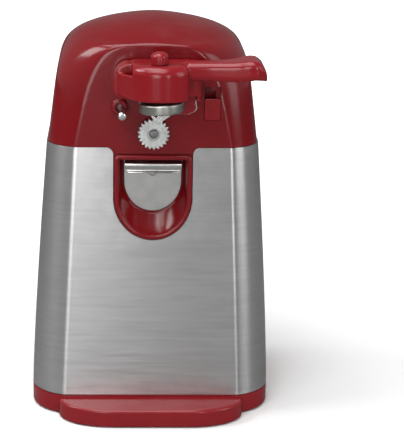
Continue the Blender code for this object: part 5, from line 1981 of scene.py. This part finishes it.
@dataclass
class GearTrain:
    """The nylon gears between the motor and the wheel, and the motor's steel pinion."""

    stage_3: Flat = (-19.7, -14.7)
    stage_2: Flat = (-13.2, -9.2)
    stage_1: Flat = (-7.7, -3.7)
    module_3: float = 1.25
    module_2: float = 0.9
    module_1: float = 0.7

    @staticmethod
    def towards(start: Flat, end: Flat, teeth: int = 0) -> float:
        """The direction between two axes, turned by half a tooth where teeth are given."""
        angle = math.atan2(end[1] - start[1], end[0] - start[0])
        return angle + (math.pi / teeth if teeth else 0.0)

    def build(self) -> None:
        """Builds and dresses the four gears."""
        overlap, small_teeth = 1.0, 12
        drive = GearSize(self.module_3, 36, self.towards(DRIVE_AXIS, SECOND_AXIS), self.stage_3)
        self.finish(drive.disc("wheel_gear", DRIVE_AXIS, 3.08, NYLON), "drive", "white_nylon", "drive_gear")
        self.pair("second_gear_pair", SECOND_AXIS, "second_gear", "second_reduction_gear",
                  GearSize(self.module_2, 40, self.towards(SECOND_AXIS, FIRST_AXIS), self.stage_2),
                  GearSize(self.module_3, small_teeth, self.towards(SECOND_AXIS, DRIVE_AXIS, small_teeth),
                           (self.stage_3[0], self.stage_2[0] + overlap)))
        self.pair("first_gear_pair", FIRST_AXIS, "first_gear", "first_reduction_gear",
                  GearSize(self.module_1, 42, self.towards(FIRST_AXIS, MOTOR_AXIS), self.stage_1),
                  GearSize(self.module_2, small_teeth, self.towards(FIRST_AXIS, SECOND_AXIS, small_teeth),
                           (self.stage_2[0], self.stage_1[0] + overlap)))
        pinion = GearSize(self.module_1, small_teeth, self.towards(MOTOR_AXIS, FIRST_AXIS, small_teeth),
                          (self.stage_1[0] - overlap / 2, self.stage_1[1] + overlap / 2))
        self.finish(pinion.disc("motor_gear", MOTOR_AXIS, 1.58, ZINC), "motor", "bright_steel", "motor_pinion")

    def pair(self, name: str, axis: Flat, body: str, node: str, large: GearSize, small: GearSize) -> None:
        """Builds a large and a small gear moulded in one piece.

        Args:
            name: of the piece.
            axis: where it turns.
            body: what it rides on.
            node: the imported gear.
            large, small: the two rings.
        """
        wheel = large.disc(name, axis, 1.6, NYLON)
        carve(wheel, Solve.ADD, small.disc("pinion_part", axis, 1.6, NYLON))
        self.finish(wheel, body, "white_nylon", node)

    @staticmethod
    def finish(gear: Piece, body: str, slot: str, node: str) -> None:
        """Shades, dresses and hands over one gear.

        Args:
            gear: the gear.
            body: what it rides on.
            slot: of the record, for its finish.
            node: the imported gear.
        """
        even_shading(gear, 30.0)
        dress(gear, ZINC if slot == "bright_steel" else NYLON)
        hand_over(gear, body, slot, node)


class CarriedNodes:
    """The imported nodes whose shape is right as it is: they get their finish by material slot."""

    def dress_all(self) -> None:
        """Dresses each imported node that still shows."""
        for name, node in sorted(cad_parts.items()):
            if node.hide_render:
                continue
            current = node.data.materials[0].name.split(".")[0] if node.data.materials else ""
            finish = RED if name == "latch_keeper" else SLOT_FINISH.get(current, ZINC)
            dress(node, finish)
            log.info("%s keeps its packed shape, with %s", name, finish.name)


# ------------------------------------------------------------------ studio

@dataclass
class Studio:
    """The pale floor, the lights, the surroundings and the camera."""

    focal: float = 1495.4       # in image widths of one dot, for a 404 by 441 image
    long_side: float = 441.0
    sensor: float = 36.0
    shift: Flat = (51.0, 1.4)
    stand: Point = (0.0, -0.7887, 0.34039)
    yaw: float = -1.407
    look_down: float = 17.028
    roll: float = 0.668

    def soft_box(self, name: str, place: Point, target: Point, size: Flat, power: float) -> None:
        """Hangs one rectangular light.

        Args:
            name: of the light.
            place: where it hangs, in metres.
            target: what it faces, in metres.
            size: width and height, in metres.
            power: in watts.
        """
        data = bpy.data.lights.new(name, "AREA")
        data.shape = "RECTANGLE"
        data.size, data.size_y = size
        data.energy = power
        light = put_in_scene(name, data)
        light.location = place
        light.rotation_euler = (Vector(target) - Vector(place)).to_track_quat("-Z", "Y").to_euler()

    def surroundings(self) -> None:
        """White to the camera, and a dim room with lighter sides to all that it lights or is reflected in."""
        world = bpy.data.worlds.new("studio_air")
        bpy.context.scene.world = world
        world.use_nodes = True
        wire = Wiring(world.node_tree)
        world.node_tree.nodes.clear()
        path = wire.add("ShaderNodeLightPath")
        place = wire.add("ShaderNodeTexCoord")
        split = wire.add("ShaderNodeSeparateXYZ", Vector=place.outputs["Generated"])
        height = wire.remap(split.outputs[2], -0.1, 0.9, 0.30, 0.30)
        side = wire.remap(wire.math("ABSOLUTE", split.outputs[0]), 0.3, 0.95, 0.85, 2.2)
        level = wire.math("MULTIPLY", height, side)
        seen = wire.math("MAXIMUM", level, wire.math("MULTIPLY", path.outputs["Is Camera Ray"], 1.15))
        glow = wire.add("ShaderNodeBackground", Strength=seen)
        out = wire.add("ShaderNodeOutputWorld")
        world.node_tree.links.new(glow.outputs[0], out.inputs[0])

    def floor(self) -> None:
        """A white sheet, large enough to fill the view, that glows to the camera so that it stays white far away."""
        mesh = bpy.data.meshes.new("studio_floor")
        mesh.from_pydata([(-6.0, -6.0, 0.0), (6.0, -6.0, 0.0), (6.0, 6.0, 0.0), (-6.0, 6.0, 0.0)], [], [(0, 1, 2, 3)])
        sheet = put_in_scene("studio_floor", mesh)
        paper = bpy.data.materials.new("studio_paper")
        paper.use_nodes = True
        wire = Wiring(paper.node_tree)
        shader = paper.node_tree.nodes["Principled BSDF"]
        path = wire.add("ShaderNodeLightPath")
        place = wire.add("ShaderNodeTexCoord").outputs["Object"]
        grain = Groups.place(wire, "surface_grain", Vector=place, Scale=500.0, Smoothest=0.75, Roughest=0.9)
        seen = path.outputs["Is Camera Ray"]
        away = wire.add("ShaderNodeVectorMath", {"operation": "LENGTH"}, i0=place).outputs["Value"]
        glow = wire.math("MULTIPLY", wire.remap(away, 0.12, 0.9, 0.0, 0.9), seen)
        links = paper.node_tree.links
        unseen = wire.mix(path.outputs["Is Glossy Ray"], (0.5, 0.5, 0.5, 1.0), (0.19, 0.19, 0.19, 1.0))
        links.new(wire.mix(seen, unseen, (0.84, 0.84, 0.84, 1.0)), shader.inputs["Base Color"])
        links.new(grain.outputs["Roughness"], shader.inputs["Roughness"])
        links.new(glow, shader.inputs["Emission Strength"])
        shader.inputs["Emission Color"].default_value = (1.0, 1.0, 1.0, 1.0)
        shader.inputs["Specular IOR Level"].default_value = 0.0
        sheet.data.materials.append(paper)

    def camera(self) -> None:
        """A camera above and in front, turned and rolled a little."""
        data = bpy.data.cameras.new("camera")
        data.sensor_width = self.sensor
        data.lens = self.focal * self.sensor / self.long_side
        data.shift_x, data.shift_y = (shift / self.long_side for shift in self.shift)
        camera = put_in_scene("camera", data)
        camera.matrix_world = (Matrix.Rotation(math.radians(self.yaw), 4, "Z")
                               @ Matrix.Translation(self.stand)
                               @ Matrix.Rotation(math.radians(90.0 - self.look_down), 4, "X")
                               @ Matrix.Rotation(math.radians(self.roll), 4, "Z"))
        bpy.context.scene.camera = camera

    def build(self) -> None:
        """Sets up the whole studio."""
        self.floor()
        self.surroundings()
        self.soft_box("front_top_box", (-0.20, -0.70, 1.15), (0.0, 0.0, 0.1), (0.9, 0.5), 6.0)
        self.soft_box("low_left_box", (-0.22, -0.95, 0.27), (-0.02, 0.0, 0.1), (0.34, 0.44), 2.3)
        self.soft_box("low_right_strip", (0.34, -0.95, 0.27), (0.04, 0.0, 0.1), (0.10, 0.44), 1.1)
        self.soft_box("left_key", (-0.95, -0.10, 1.10), (0.0, 0.0, 0.1), (0.6, 0.5), 8.0)
        self.soft_box("right_box", (0.95, -0.60, 0.50), (0.0, 0.0, 0.12), (0.4, 0.8), 2.6)
        self.soft_box("top_box", (-0.15, -0.05, 1.25), (0.0, 0.0, 0.1), (1.0, 0.6), 9.0)
        self.camera()
        bpy.context.scene.view_settings.view_transform = "Standard"


def main() -> None:
    """Builds every piece, the finishes and the studio."""
    logging.basicConfig(level=logging.INFO, format="%(name)s: %(message)s")
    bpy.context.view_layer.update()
    for part in (Base(), SteelWrap(), FrontHousing(), RearHousing(), BottleOpener(), CanGuide(), DriveWheel(), Lever(),
                 GearTrain()):
        log.info("building %s", type(part).__name__)
        part.build()
    CarriedNodes().dress_all()
    Studio().build()


if __name__ == "__main__":
    main()
